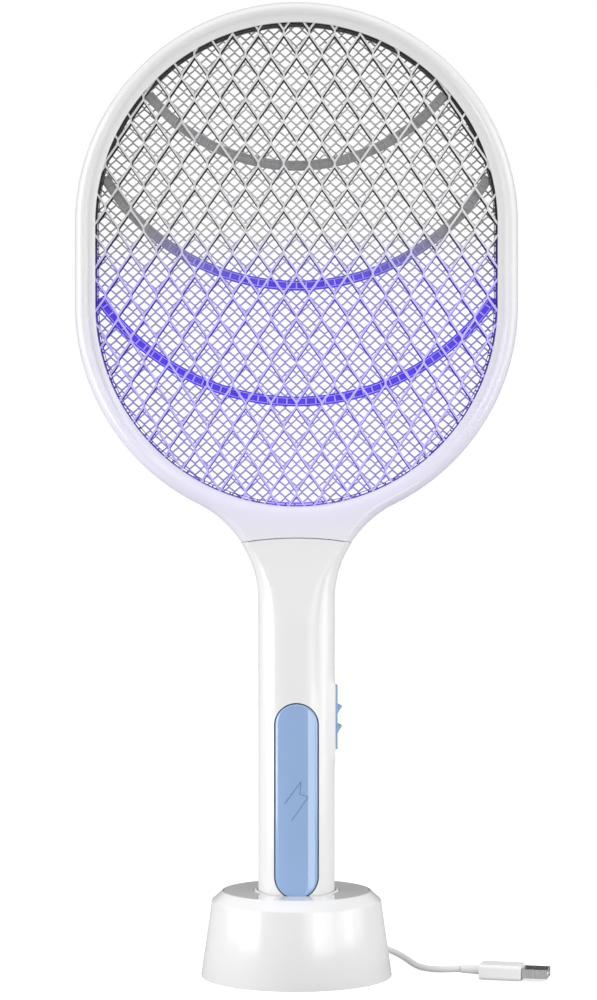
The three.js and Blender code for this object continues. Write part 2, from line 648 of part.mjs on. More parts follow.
/** The cap that closes the handle's bottom end and holds the two charging contacts. */
function buildEndCap() {
  const capTop = HANDLE_BOTTOM + END_CAP_THICK;
  const plugTop = capTop + 4;
  let cap = handleBody(0, HANDLE_BOTTOM, capTop).add(handleBody(WALL + GAP, capTop - 0.5, plugTop));
  for (const [name, side] of [["left", -1], ["right", 1]]) {
    const x = (side * CONTACT_SPACING) / 2;
    cap = cap.subtract(solid(post(x, 0, HANDLE_BOTTOM - 1, plugTop + 1, CONTACT_R + GAP)));
    const stud = post(x, 0, HANDLE_BOTTOM, plugTop, CONTACT_R, 18);
    const flange = post(x, 0, plugTop + GAP, plugTop + GAP + 1, CONTACT_R + 1, 18);
    const neck = post(x, 0, plugTop - 1, plugTop + 1, CONTACT_R, 18);
    add("charge_contact_" + name, solid(stud).add(solid(flange)).add(solid(neck)), brass);
  }
  add("handle_end_cap", cap, whiteGloss);
}

/** The long blue plate in the front, which is pressed to fire the grid, with its springs and its switch. */
function buildPressPlate() {
  const z0 = HANDLE_BOTTOM + END_CAP_THICK;
  const z1 = HANDLE_BOTTOM + PLATE_TOP + 10;
  const skin = handleBody(0, z0, z1).subtract(handleBody(PLATE_THICK, z0 - 1, z1 + 1));
  const face = skin.intersect(platePrism(PLATE_R));
  const flangeOuter = handleBody(WALL + GAP, z0, z1);
  const flangeInner = handleBody(PLATE_THICK, z0 - 1, z1 + 1);
  const flange = flangeOuter.subtract(flangeInner).intersect(platePrism(PLATE_R + PLATE_FLANGE));
  const tip = pinAlongY(0, TACT_Z, PLATE_INNER_Y - 0.5, PLATE_INNER_Y + GAP, 2.2);
  const front = solid(block([-HEAD_R, -HEAD_R, 0], [HEAD_R, 0, HEAD_HIGH_Z]));
  add("press_plate", face.add(flange).intersect(front).add(solid(tip)), bluePlastic);

  const tipY = PLATE_INNER_Y + GAP;
  const plungerFront = tipY + GAP;
  const bodyFront = plungerFront + PLATE_TRAVEL + 0.3;
  const bodyRear = BOARD_FRONT - GAP;
  const half = 3.1;
  const bore = pinAlongY(0, TACT_Z, bodyFront - 1, bodyFront + 2.6, PLUNGER_R + GAP, 14);
  const body = solid(block([-half, bodyFront, TACT_Z - half], [half, bodyRear, TACT_Z + half]));
  add("tact_switch", body.subtract(solid(bore)), darkPlastic);
  add("tact_plunger", pinAlongY(0, TACT_Z, plungerFront, bodyFront + 1.5, PLUNGER_R, 14), blackRubber);

  for (const [name, z] of [["upper", TACT_Z + SPRING_SPACING], ["lower", TACT_Z - SPRING_SPACING]]) {
    add("plate_spring_" + name, spring(0, z, PLATE_INNER_Y + GAP, BOARD_FRONT - GAP), steel);
  }
}


/** A compression spring along Y between y0 and y1. */
function spring(x, z, y0, y1) {
  const points = [];
  const steps = Math.round(SPRING_TURNS * 8);
  const length = y1 - y0 - 2 * SPRING_WIRE_R;
  for (let i = 0; i <= steps; i++) {
    const angle = (i / steps) * SPRING_TURNS * 2 * Math.PI;
    const y = y0 + SPRING_WIRE_R + (length * i) / steps;
    points.push([x + SPRING_R * Math.cos(angle), y, z + SPRING_R * Math.sin(angle)]);
  }
  return cableTube(points, SPRING_WIRE_R, 2, 5);
}

/** The switch on the handle's side: the toothed knob that slides in the boss and the switch behind it. */
function buildSideSwitch() {
  const outer = BOSS_X + KNOB_PROUD;
  const half = KNOB_WIDTH / 2;
  let knob = solid(block([BOSS_X - KNOB_SINK, -half, KNOB_TOP - KNOB_LENGTH], [outer, half, KNOB_TOP]));
  const tooth = new THREE.Shape();
  tooth.moveTo(-0.5, 0);
  tooth.lineTo(0, 0);
  tooth.lineTo(TOOTH_HEIGHT, -TOOTH_SLANT);
  tooth.quadraticCurveTo(0, -TOOTH_SLANT, 0, -TOOTH_LENGTH);
  tooth.lineTo(-0.5, -TOOTH_LENGTH);
  tooth.closePath();
  for (const drop of [FIRST_TOOTH, FIRST_TOOTH + TOOTH_PITCH]) {
    const settings = { depth: KNOB_WIDTH, bevelEnabled: false, curveSegments: 5 };
    const ridge = new THREE.ExtrudeGeometry(tooth, settings).rotateX(Math.PI / 2);
    knob = knob.add(solid(ridge.translate(outer, half, KNOB_TOP - drop)));
  }
  const stem = block(
    [SLIDE_SWITCH_X + GAP, -STEM_WIDTH / 2, STEM_Z - STEM_LENGTH / 2],
    [BOSS_X, STEM_WIDTH / 2, STEM_Z + STEM_LENGTH / 2],
  );
  add("switch_knob", knob.add(solid(stem)), bluePlastic);
  const body = block(
    [SLIDE_SWITCH_X - SLIDE_SWITCH.width, BOARD_REAR + GAP, STEM_Z - SLIDE_SWITCH.length / 2],
    [SLIDE_SWITCH_X, BOARD_REAR + GAP + SLIDE_SWITCH.depth, STEM_Z + SLIDE_SWITCH.length / 2],
  );
  add("slide_switch", body, steel);
}


/** The rechargeable cell in its cradle and the board with the high-voltage parts. */
function buildElectronics() {
  const cellTop = CELL_Z + CELL_LENGTH;
  const cell = solid(post(0, CELL_Y, CELL_Z, cellTop - 1, CELL_R, 28));
  add("battery_cell", cell.add(solid(post(0, CELL_Y, cellTop - 1.5, cellTop, 3.2, 16))), cellWrap);
  const side = CELL_R + GAP + 1.2;
  const cradleFront = CELL_Y - CELL_R - GAP - 1.5;
  const cradle = solid(block([-side, cradleFront, CELL_Z - 1], [side, CELL_Y - 1, cellTop + 1]));
  const bed = solid(post(0, CELL_Y, CELL_Z - 2, cellTop + 2, CELL_R + GAP, 28));
  add("battery_cradle", cradle.subtract(bed), darkPlastic);

  add(
    "main_board",
    block([-BOARD_HALF_WIDTH, BOARD_FRONT, BOARD_Z], [BOARD_HALF_WIDTH, BOARD_REAR, BOARD_Z + BOARD_LENGTH]),
    boardGreen,
  );
  const rear = BOARD_REAR + GAP;
  const coreZ = BOARD_Z + 60;
  const core = solid(block([-11, rear, coreZ], [3, rear + 11, coreZ + 14]));
  const winding = solid(block([-12.5, rear + 2, coreZ + 3], [4.5, rear + 9, coreZ + 11]));
  add("step_up_transformer", core.add(winding), darkPlastic);
  add("hv_capacitor", block([-9, rear, coreZ + 17], [9, rear + 7, coreZ + 28]), cellWrap);

  const wireTop = OPENING_BOTTOM - 3.4;
  const x = LAMP_HALF_WIDTH + 3.5;
  const boardTop = BOARD_Z + BOARD_LENGTH;
  const route = [
    [5, 1, boardTop + 1],
    [4.5, 1, NECK_Z + 12],
    [12, 0, SEAM_Z - 5],
    [x, 0, SEAM_Z + 4],
    [x, 0, wireTop],
  ];
  add("hv_lead", cableTube(route, 0.9, 4, 6), blackRubber);
}

/** The four screws that hold the casing's halves together. */
function buildCasingScrews() {
  const sides = ["left", "right"];
  HEAD_SCREWS_X.forEach((x, i) => {
    add("head_screw_" + sides[i], screw(x, HEAD_SCREW_Z, HEAD_DEPTH / 2), steel);
  });
  HANDLE_SCREWS_X.forEach((x, i) => {
    add("handle_screw_" + sides[i], screw(x, HANDLE_SCREW_Z, HANDLE_SCREW_BACK), steel);
  });
}

// ---------------------------------------------------------------- base
/** The base's inner radius at height z. */
function baseInnerRadius(z) {
  const shoulder = BASE_HEIGHT - BASE_BEVEL;
  return THREE.MathUtils.mapLinear(z, BASE_LIFT, shoulder, BASE_R, BASE_SHOULDER_R) - BASE_WALL;
}

/** A disc on the base's axis. */
function disc(r, z0, z1) {
  return solid(turned([[0, z0], [r, z0], [r, z1], [0, z1]]));
}

/** The charging base: shell, top plate, socket, bottom cover, ballast, foot and charging parts. */
function buildBase() {
  const ledgeR = BASE_TOP_R - 3.75;
  const ledgeTop = BASE_HEIGHT - TOP_PLATE_THICK - 2 * GAP - SOCKET_FLANGE;
  const ledgeLow = ledgeTop - 1.8;
  const shoulder = BASE_HEIGHT - BASE_BEVEL;
  let shell = solid(
    turned([
      [BASE_R, BASE_LIFT],
      [BASE_SHOULDER_R, shoulder],
      [BASE_TOP_R, BASE_HEIGHT],
      [BASE_TOP_R, ledgeTop],
      [ledgeR, ledgeTop],
      [ledgeR, ledgeLow],
      [ledgeR + 2.5, ledgeLow],
      [baseInnerRadius(ledgeLow - 1.5), ledgeLow - 1.5],
      [baseInnerRadius(BASE_LIFT), BASE_LIFT],
    ]),
  );
  let cover = disc(COVER_R, COVER_Z, COVER_Z + COVER_THICK);
  const ballastTop = BALLAST_Z + BALLAST_THICK;
  let ballast = solid(
    turned([[12, BALLAST_Z], [BALLAST_R, BALLAST_Z], [BALLAST_R, ballastTop], [12, ballastTop]]),
  );
  for (const [name, degrees] of Object.entries(BASE_SCREW_ANGLES)) {
    const angle = THREE.MathUtils.degToRad(degrees);
    const x = BASE_SCREW_RADIUS * Math.cos(angle);
    const y = BASE_SCREW_RADIUS * Math.sin(angle);
    const seat = COVER_Z + COVER_THICK - 0.5;
    shell = shell.add(solid(post(x, y, BALLAST_Z, ledgeLow - 2, SCREW_BOSS_R, 16)));
    shell = shell.subtract(solid(post(x, y, BALLAST_Z - 1, BALLAST_Z + 14, SCREW_SHAFT_R + GAP, 12)));
    cover = cover.subtract(solid(post(x, y, 0, 10, SCREW_SHAFT_R + GAP, 12)));
    cover = cover.subtract(solid(post(x, y, 0, seat, SCREW_HEAD_R + GAP)));
    ballast = ballast.subtract(solid(post(x, y, 0, 20, SCREW_BOSS_R + GAP, 16)));
    const head = solid(post(x, y, COVER_Z + 0.1, seat - GAP, SCREW_HEAD_R, 16));
    add(name, head.add(solid(post(x, y, seat - 1, BALLAST_Z + 11, SCREW_SHAFT_R, 12))), steel);
  }
  const inletHole = block([-4.9, BASE_SHOULDER_R - 6, USB_HEIGHT - 1.9], [4.9, BASE_R + 5, USB_HEIGHT + 1.9]);
  add("base_shell", shell.subtract(solid(inletHole)), whiteGloss);
  add("base_bottom_cover", cover, whiteGloss);
  add("ballast_plate", ballast, steel);
  add("rubber_foot_ring", turned([[34, 0], [43, 0], [43, FOOT_THICK], [34, FOOT_THICK]]), blackRubber);

  const cupD = -SOCKET_CLEARANCE;
  const cupLow = SOCKET_FLOOR - SOCKET_WALL;
  const cupTop = BASE_HEIGHT + COLLAR_PROUD;
  const flangeTop = BASE_HEIGHT - TOP_PLATE_THICK - GAP;
  const flangeR = BASE_TOP_R - GAP;
  const apronHalf = HANDLE_HALF_WIDTH;
  const apron = disc(flangeR, flangeTop - SOCKET_FLANGE, BASE_HEIGHT).intersect(
    solid(block([-apronHalf, -BASE_R, 0], [apronHalf, COLLAR_FRONT_Y, BASE_HEIGHT])),
  );
  const lowFront = block([-BASE_R, -BASE_R, BASE_HEIGHT], [BASE_R, COLLAR_FRONT_Y, cupTop + 1]);
  let cup = handleBody(cupD - SOCKET_WALL, cupLow, cupTop).subtract(solid(lowFront));
  cup = cup.add(disc(flangeR, flangeTop - SOCKET_FLANGE, flangeTop)).add(apron);
  cup = cup.subtract(handleBody(cupD, SOCKET_FLOOR, cupTop + 1));
  const apronNotch = block([-apronHalf - GAP, -BASE_R, 0], [apronHalf + GAP, COLLAR_FRONT_Y, cupTop]);
  const topPlate = disc(flangeR, BASE_HEIGHT - TOP_PLATE_THICK, BASE_HEIGHT)
    .subtract(handleBody(cupD - SOCKET_WALL - GAP, 0, cupTop + 5))
    .subtract(solid(apronNotch));
  add("base_top_plate", topPlate, greyPlate);

  for (const [name, side] of [["left", -1], ["right", 1]]) {
    const x = (side * CONTACT_SPACING) / 2;
    const barrelTop = cupLow - GAP;
    const barrel = solid(post(x, 0, CHARGE_BOARD_TOP + GAP, barrelTop, PIN_R + GAP + 0.6, 16));
    const bore = solid(post(x, 0, CHARGE_BOARD_TOP + GAP + 0.4, barrelTop + 1, PIN_R + GAP, 14));
    add("contact_barrel_" + name, barrel.subtract(bore), brass);
    const pinLow = CHARGE_BOARD_TOP + GAP + 0.4 + PIN_TRAVEL + GAP;
    add("contact_pin_" + name, post(x, 0, pinLow, SOCKET_FLOOR, PIN_R, 14), brass);
    cup = cup.subtract(solid(post(x, 0, cupLow - 1, SOCKET_FLOOR + 1, PIN_R + GAP, 14)));
  }
  add("socket_cup", cup, whiteGloss);

  add("charge_board", block([-10, -12, CHARGE_BOARD_Z], [10, INLET_FACE - 1, CHARGE_BOARD_TOP]), boardGreen);
  const inlet = solid(block([-5, INLET_FACE - 7.5, USB_HEIGHT - 1.95], [5, INLET_FACE, USB_HEIGHT + 1.95]));
  const mouth = solid(
    block([-4.5, INLET_FACE - 6.5, USB_HEIGHT - 1.5], [4.5, INLET_FACE + 1, USB_HEIGHT + 1.5]),
  );
  add("usb_inlet", inlet.subtract(mouth), steel);
}


// ---------------------------------------------------------------- cable

// The cable's centre line, as points chosen by hand: from the USB-C end to the coil,
// and from the coil to the USB-A end.
const BASE_RUN = [
  [0, 73.3, 10.7],
  [0, 78, 10.6],
  [0, 85, 8.6],
  [0, 92, 4.8],
  [0, 99, 2.3],
  [0, 107.3, 1.7],
];
const PLUG_RUN = [
  [37.2, 107.3, 1.7],
  [37.6, 100, 1.7],
  [39.8, 90, 1.7],
  [43.6, 78, 1.7],
  [48.6, 64, 1.7],
  [53.2, 50, 1.7],
  [56.6, 36, 1.7],
  [59.4, 22, 1.8],
  [63.4, 9, 2.1],
  [70.6, -1.4, 2.9],
  [81.7, -5.9, 3.9],
];

/** A box with its long edges rounded, along +Y from y0. */
function roundedBar(halfWidth, halfHeight, corner, y0, length) {
  const w = halfWidth - corner;
  const h = halfHeight - corner;
  const quarter = Math.PI / 2;
  const centres = [[w, h], [-w, h], [-w, -h], [w, -h]];
  const arcs = centres.map(([x, z], i) => [x, z, corner, i * quarter, (i + 1) * quarter]);
  const shape = arcShape(arcs, quarter / 4);
  const geometry = new THREE.ExtrudeGeometry(shape, { depth: length, bevelEnabled: false });
  return geometry.rotateX(Math.PI / 2).translate(0, y0 + length, 0);
}

/** A tapered round piece along +Y from y0. */
function taper(y0, length, r0, r1) {
  return new THREE.CylinderGeometry(r1, r0, length, 16).translate(0, y0 + length / 2, 0);
}

/** The charging cable: USB-C plug in the base's inlet, a coil behind the base and a USB-A plug beside it. */
function buildCable() {
  const bodyStart = BASE_R - 0.4;
  const cPlug = new THREE.Group();
  cPlug.position.set(0, 0, USB_HEIGHT);
  const tipEnd = INLET_FACE - 3.6;
  const tip = roundedBar(C_TIP.halfWidth, C_TIP.halfHeight, 1.1, tipEnd, bodyStart - GAP - tipEnd);
  add("usb_c_plug_shell", tip, steel, cPlug);
  const cBody = roundedBar(C_BODY.halfWidth, C_BODY.halfHeight, 2.4, bodyStart, C_BODY.length);
  add("usb_c_overmould", cBody, whiteCable, cPlug);
  const reliefStart = bodyStart + C_BODY.length + GAP;
  const cRelief = taper(reliefStart, C_RELIEF.length, C_RELIEF.r0, C_RELIEF.r1);
  add("usb_c_strain_relief", cRelief, whiteCable, cPlug);

  add("cable_base_run", cableTube(BASE_RUN), whiteCable);
  const inner = COIL_R - COIL_HALF_WIDTH;
  const outer = COIL_R + COIL_HALF_WIDTH;
  const coil = turned([[inner, 0.1], [outer, 0.1], [outer, COIL_HEIGHT], [inner, COIL_HEIGHT]], 28);
  add("cable_coil", coil.translate(COIL_CENTRE[0], COIL_CENTRE[1], 0), whiteCable);
  add("cable_plug_run", cableTube(PLUG_RUN), whiteCable);

  const aPlug = new THREE.Group(); // its own +Y runs from the cable to the plug's tip
  aPlug.position.set(A_PLACE.x, A_PLACE.y, A_PLACE.z);
  aPlug.rotation.z = THREE.MathUtils.degToRad(-90 + A_PLACE.turn);
  const { halfWidth, halfHeight, length, wall } = A_TIP;
  const bodyA = A_RELIEF.length + GAP;
  add("usb_a_strain_relief", taper(0, A_RELIEF.length, A_RELIEF.r1, A_RELIEF.r0), whiteCable, aPlug);
  const aBody = roundedBar(A_BODY.halfWidth, A_BODY.halfHeight, 1.6, bodyA, A_BODY.length);
  add("usb_a_overmould", aBody, whiteCable, aPlug);
  const tipStart = bodyA + A_BODY.length + GAP;
  const shell = solid(block([-halfWidth, tipStart, -halfHeight], [halfWidth, tipStart + length, halfHeight]));
  const hollow = solid(
    block(
      [-halfWidth + wall, tipStart + 1, -halfHeight + wall],
      [halfWidth - wall, tipStart + length + 1, halfHeight - wall],
    ),
  );
  add("usb_a_shell", shell.subtract(hollow), steel, aPlug);
  const tongue = block(
    [-halfWidth + wall + GAP, tipStart + 1 + GAP, -halfHeight + wall + GAP],
    [halfWidth - wall - GAP, tipStart + length - 1, -0.1],
  );
  add("usb_a_tongue", tongue, whiteCable, aPlug);
  swatter.add(cPlug, aPlug);
}

buildHeadFrames();
buildGrids();
buildLamp();
buildHandleShells();
buildEndCap();
buildPressPlate();
buildSideSwitch();
buildElectronics();
buildCasingScrews();
buildBase();
buildCable();

export default swatter;
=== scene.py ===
"""The looks of an electric fly swatter that stands in its charging base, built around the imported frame."""

import json
import logging
import math
from collections.abc import Callable, Iterator, Sequence
from contextlib import contextmanager
from dataclasses import dataclass, field
from enum import Enum

import bpy
import numpy as np
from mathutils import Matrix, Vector


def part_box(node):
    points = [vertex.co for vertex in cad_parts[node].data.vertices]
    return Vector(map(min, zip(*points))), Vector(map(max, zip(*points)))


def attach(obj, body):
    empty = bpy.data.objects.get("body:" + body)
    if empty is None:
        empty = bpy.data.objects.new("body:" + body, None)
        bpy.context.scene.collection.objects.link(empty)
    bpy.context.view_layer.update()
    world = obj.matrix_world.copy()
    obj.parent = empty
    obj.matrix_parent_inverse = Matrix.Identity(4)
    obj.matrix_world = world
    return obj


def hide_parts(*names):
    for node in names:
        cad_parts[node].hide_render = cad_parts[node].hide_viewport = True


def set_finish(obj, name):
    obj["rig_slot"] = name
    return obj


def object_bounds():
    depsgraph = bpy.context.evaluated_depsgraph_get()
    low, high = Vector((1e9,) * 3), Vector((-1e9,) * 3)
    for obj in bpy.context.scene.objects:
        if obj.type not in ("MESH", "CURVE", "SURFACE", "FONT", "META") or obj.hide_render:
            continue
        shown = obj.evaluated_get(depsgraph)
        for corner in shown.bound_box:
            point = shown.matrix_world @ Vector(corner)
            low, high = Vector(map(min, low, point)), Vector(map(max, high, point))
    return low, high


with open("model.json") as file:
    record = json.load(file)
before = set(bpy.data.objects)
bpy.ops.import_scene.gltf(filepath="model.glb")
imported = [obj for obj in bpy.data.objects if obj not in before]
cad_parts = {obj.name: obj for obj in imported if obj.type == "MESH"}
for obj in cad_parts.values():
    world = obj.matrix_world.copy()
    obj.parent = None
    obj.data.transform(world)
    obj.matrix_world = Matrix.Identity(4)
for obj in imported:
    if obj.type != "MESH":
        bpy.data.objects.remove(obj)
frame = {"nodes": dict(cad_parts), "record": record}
CAD_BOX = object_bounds()

log = logging.getLogger("fly_swatter")
Colour = tuple[float, float, float]
Point = tuple[float, float, float]
MM = 0.001
FLANGE = 1.6 * MM  # hidden edge of the press plate
TURN_STEPS = 128  # facets round the base
SECTION_STEPS = 96  # facets round the handle's section
CLOUD_SCALE = 24  # of a finish's slow colour change, per metre
RELIEF = 0.2 * MM  # depth of a finish's fine surface
MIX_FACTOR, MIX_FIRST, MIX_SECOND, MIX_RESULT = 0, 6, 7, 2  # the Mix node's sockets for colours


# ---------------------------------------------------------------- work on meshes


def deselect() -> None:
    """Leaves nothing selected and nothing active."""
    bpy.ops.object.select_all(action="DESELECT")
    bpy.context.view_layer.objects.active = None


def activate(piece: bpy.types.Object) -> None:
    """Makes one piece the only selected one.

    Args:
        piece: The object to work on.
    """
    deselect()
    piece.select_set(True)
    bpy.context.view_layer.objects.active = piece


@contextmanager
def editing(piece: bpy.types.Object) -> Iterator[None]:
    """Opens a piece in edit mode with all of it selected, and closes it again.

    Args:
        piece: The object to edit.
    """
    activate(piece)
    bpy.ops.object.mode_set(mode="EDIT")
    bpy.ops.mesh.select_all(action="SELECT")
    try:
        yield
    finally:
        bpy.ops.object.mode_set(mode="OBJECT")


def named(name: str) -> bpy.types.Object:
    """Names the new primitive and its mesh.

    Args:
        name: The piece's name.

    Returns:
        The primitive.
    """
    piece = bpy.context.view_layer.objects.active
    piece.name = name
    piece.data.name = name
    return piece


def points_of(piece: bpy.types.Object) -> np.ndarray:
    """Reads a mesh's vertices.

    Args:
        piece: A mesh object.

    Returns:
        Their places, one row each.
    """
    places = np.zeros(len(piece.data.vertices) * 3)
    piece.data.vertices.foreach_get("co", places)
    return places.reshape(-1, 3)


def warp(piece: bpy.types.Object, move: Callable[[np.ndarray], np.ndarray]) -> None:
    """Moves every vertex of a mesh.

    Args:
        piece: A mesh object.
        move: Takes all the vertices' places and returns the new ones.
    """
    piece.data.vertices.foreach_set("co", move(points_of(piece)).ravel())
    piece.data.update()


def grid_sheet(name: str, columns: int, rows: int) -> bpy.types.Object:
    """Adds a flat grid from 0 to 1 in X and Y, ready to be warped.

    Args:
        name: The piece's name.
        columns: Faces along X.
        rows: Faces along Y.

    Returns:
        The grid.
    """
    deselect()
    bpy.ops.mesh.primitive_grid_add(x_subdivisions=columns, y_subdivisions=rows, size=1)
    piece = named(name)
    warp(piece, lambda p: p + np.array([0.5, 0.5, 0.0]))
    return piece


def modify(piece: bpy.types.Object, kind: str, **settings: object) -> None:
    """Adds a modifier and applies it.

    Args:
        piece: A mesh object.
        kind: The modifier's type.
        settings: Its properties.
    """
    activate(piece)
    modifier = piece.modifiers.new(kind.lower(), kind)
    for key, value in settings.items():
        setattr(modifier, key, value)
    bpy.ops.object.modifier_apply(modifier=modifier.name)


def tidy(piece: bpy.types.Object, merge: float = 1e-6, outward: bool = True) -> None:
    """Merges doubled vertices and turns the faces outwards.

    Args:
        piece: A mesh object.
        merge: Vertices nearer than this become one.
        outward: Whether to recalculate the normals.
    """
    with editing(piece):
        bpy.ops.mesh.remove_doubles(threshold=merge)
        if outward:
            bpy.ops.mesh.normals_make_consistent(inside=False)


def smooth(piece: bpy.types.Object, degrees: float = 35) -> None:
    """Shades a piece smooth, apart from its sharper edges.

    Args:
        piece: A mesh object.
        degrees: The angle past which an edge stays sharp.
    """
    activate(piece)
    bpy.ops.object.shade_smooth_by_angle(angle=math.radians(degrees))


def rounded_block(
    name: str, low: Sequence[float], high: Sequence[float], radius: float, segments: int = 3
) -> bpy.types.Object:
    """Makes a block with rounded edges.

    Args:
        name: The piece's name.
        low: Its lowest corner.
        high: Its highest corner.
        radius: The rounding.
        segments: Facets across the rounding.

    Returns:
        The block.
    """
    deselect()
    bpy.ops.mesh.primitive_cube_add(size=1)
    piece = named(name)
    low, high = np.array(low, float), np.array(high, float)
    warp(piece, lambda p: (p + 0.5) * (high - low) + low)
    if radius > 0:
        modify(piece, "BEVEL", width=radius, segments=segments, limit_method="NONE", use_clamp_overlap=True)
    return piece


def cut(piece: bpy.types.Object, cutter: bpy.types.Object) -> None:
    """Cuts one piece out of another and removes the cutter.

    Args:
        piece: What is cut.
        cutter: The shape that is taken away.
    """
    modify(piece, "BOOLEAN", operation="DIFFERENCE", solver="EXACT", object=cutter)
    bpy.data.objects.remove(cutter)


def join(pieces: Sequence[bpy.types.Object], name: str) -> bpy.types.Object:
    """Joins several pieces into one.

    Args:
        pieces: The objects to join.
        name: The name of the result.

    Returns:
        The joined piece.
    """
    activate(pieces[0])
    for piece in pieces:
        piece.select_set(True)
    bpy.ops.object.join()
    return named(name)


def turned(name: str, profile: Sequence[tuple[float, float]], steps: int = 96) -> bpy.types.Object:
    """Spins a closed profile round the Z axis.

    Args:
        name: The piece's name.
        profile: Its (radius, height) points.
        steps: Facets round the piece.

    Returns:
        The turned piece.
    """
    deselect()
    bpy.ops.mesh.primitive_circle_add(vertices=len(profile), radius=1, fill_type="NOTHING")
    piece = named(name)
    warp(piece, lambda p: np.array([[r, 0.0, z] for r, z in profile]))
    with editing(piece):
        bpy.ops.mesh.spin(steps=steps, angle=2 * math.pi, center=(0, 0, 0), axis=(0, 0, 1))
    tidy(piece, 1e-6)
    return piece


def settle(
    piece: bpy.types.Object,
    body: str,
    material: bpy.types.Material,
    slot: str,
    stands_for: Sequence[str] = (),
) -> bpy.types.Object:
    """Dresses a finished piece and fixes it to its body.

    Args:
        piece: The finished piece.
        body: The frame's body that it moves with.
        material: Its finish.
        slot: The record's material slot.
        stands_for: The frame's nodes that it replaces.

    Returns:
        The piece.
    """
    piece.data.materials.clear()
    piece.data.materials.append(material)
    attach(piece, body)
    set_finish(piece, slot)
    if stands_for:
        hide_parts(*stands_for)
    log.info("%s on %s", piece.name, body)
    return piece


def ease(t: np.ndarray) -> np.ndarray:
    """Eases a share from 0 to 1 in and out."""
    return t * t * (3 - 2 * t)


def lay_on(sheet: bpy.types.Object, table: np.ndarray) -> None:
    """Lays a flat grid on a table of places.

    Args:
        sheet: A grid from 0 to 1.
        table: The places, by column and row of the grid.
    """
    columns, rows = table.shape[0] - 1, table.shape[1] - 1

    def place(p: np.ndarray) -> np.ndarray:
        """Looks each vertex's place up."""
        i = np.rint(p[:, 0] * columns).astype(int)
        j = np.rint(p[:, 1] * rows).astype(int)
        return table[i, j]

    warp(sheet, place)


def face_out(piece: bpy.types.Object, front: bool = True) -> None:
    """Turns an open shell's faces forwards, or backwards for a rear piece.

    Args:
        piece: An open shell.
        front: Whether it is a front piece.
    """
    total = sum(face.normal.y * face.area for face in piece.data.polygons)
    if (total > 0) == front:
        with editing(piece):
            bpy.ops.mesh.flip_normals()


# ---------------------------------------------------------------- finishes


class Grain(Enum):
    """What the fine surface of a finish looks like."""

    MOULDED = "moulded"
    BRUSHED = "brushed"
    RUBBERY = "rubbery"


@dataclass(frozen=True)
class Glow:
    """Violet lamp light painted into a finish: a tint mixed into its colour and a faint painted glow, full
    low down and fading out with height. On the lamp's own window it is the lamp's real glow.
    """

    tint: Colour
    full_below: float
    none_above: float
    strength: float = 0.0
    foot: float = 0.0
    foot_span: tuple[float, float] = (0.216, 0.236)


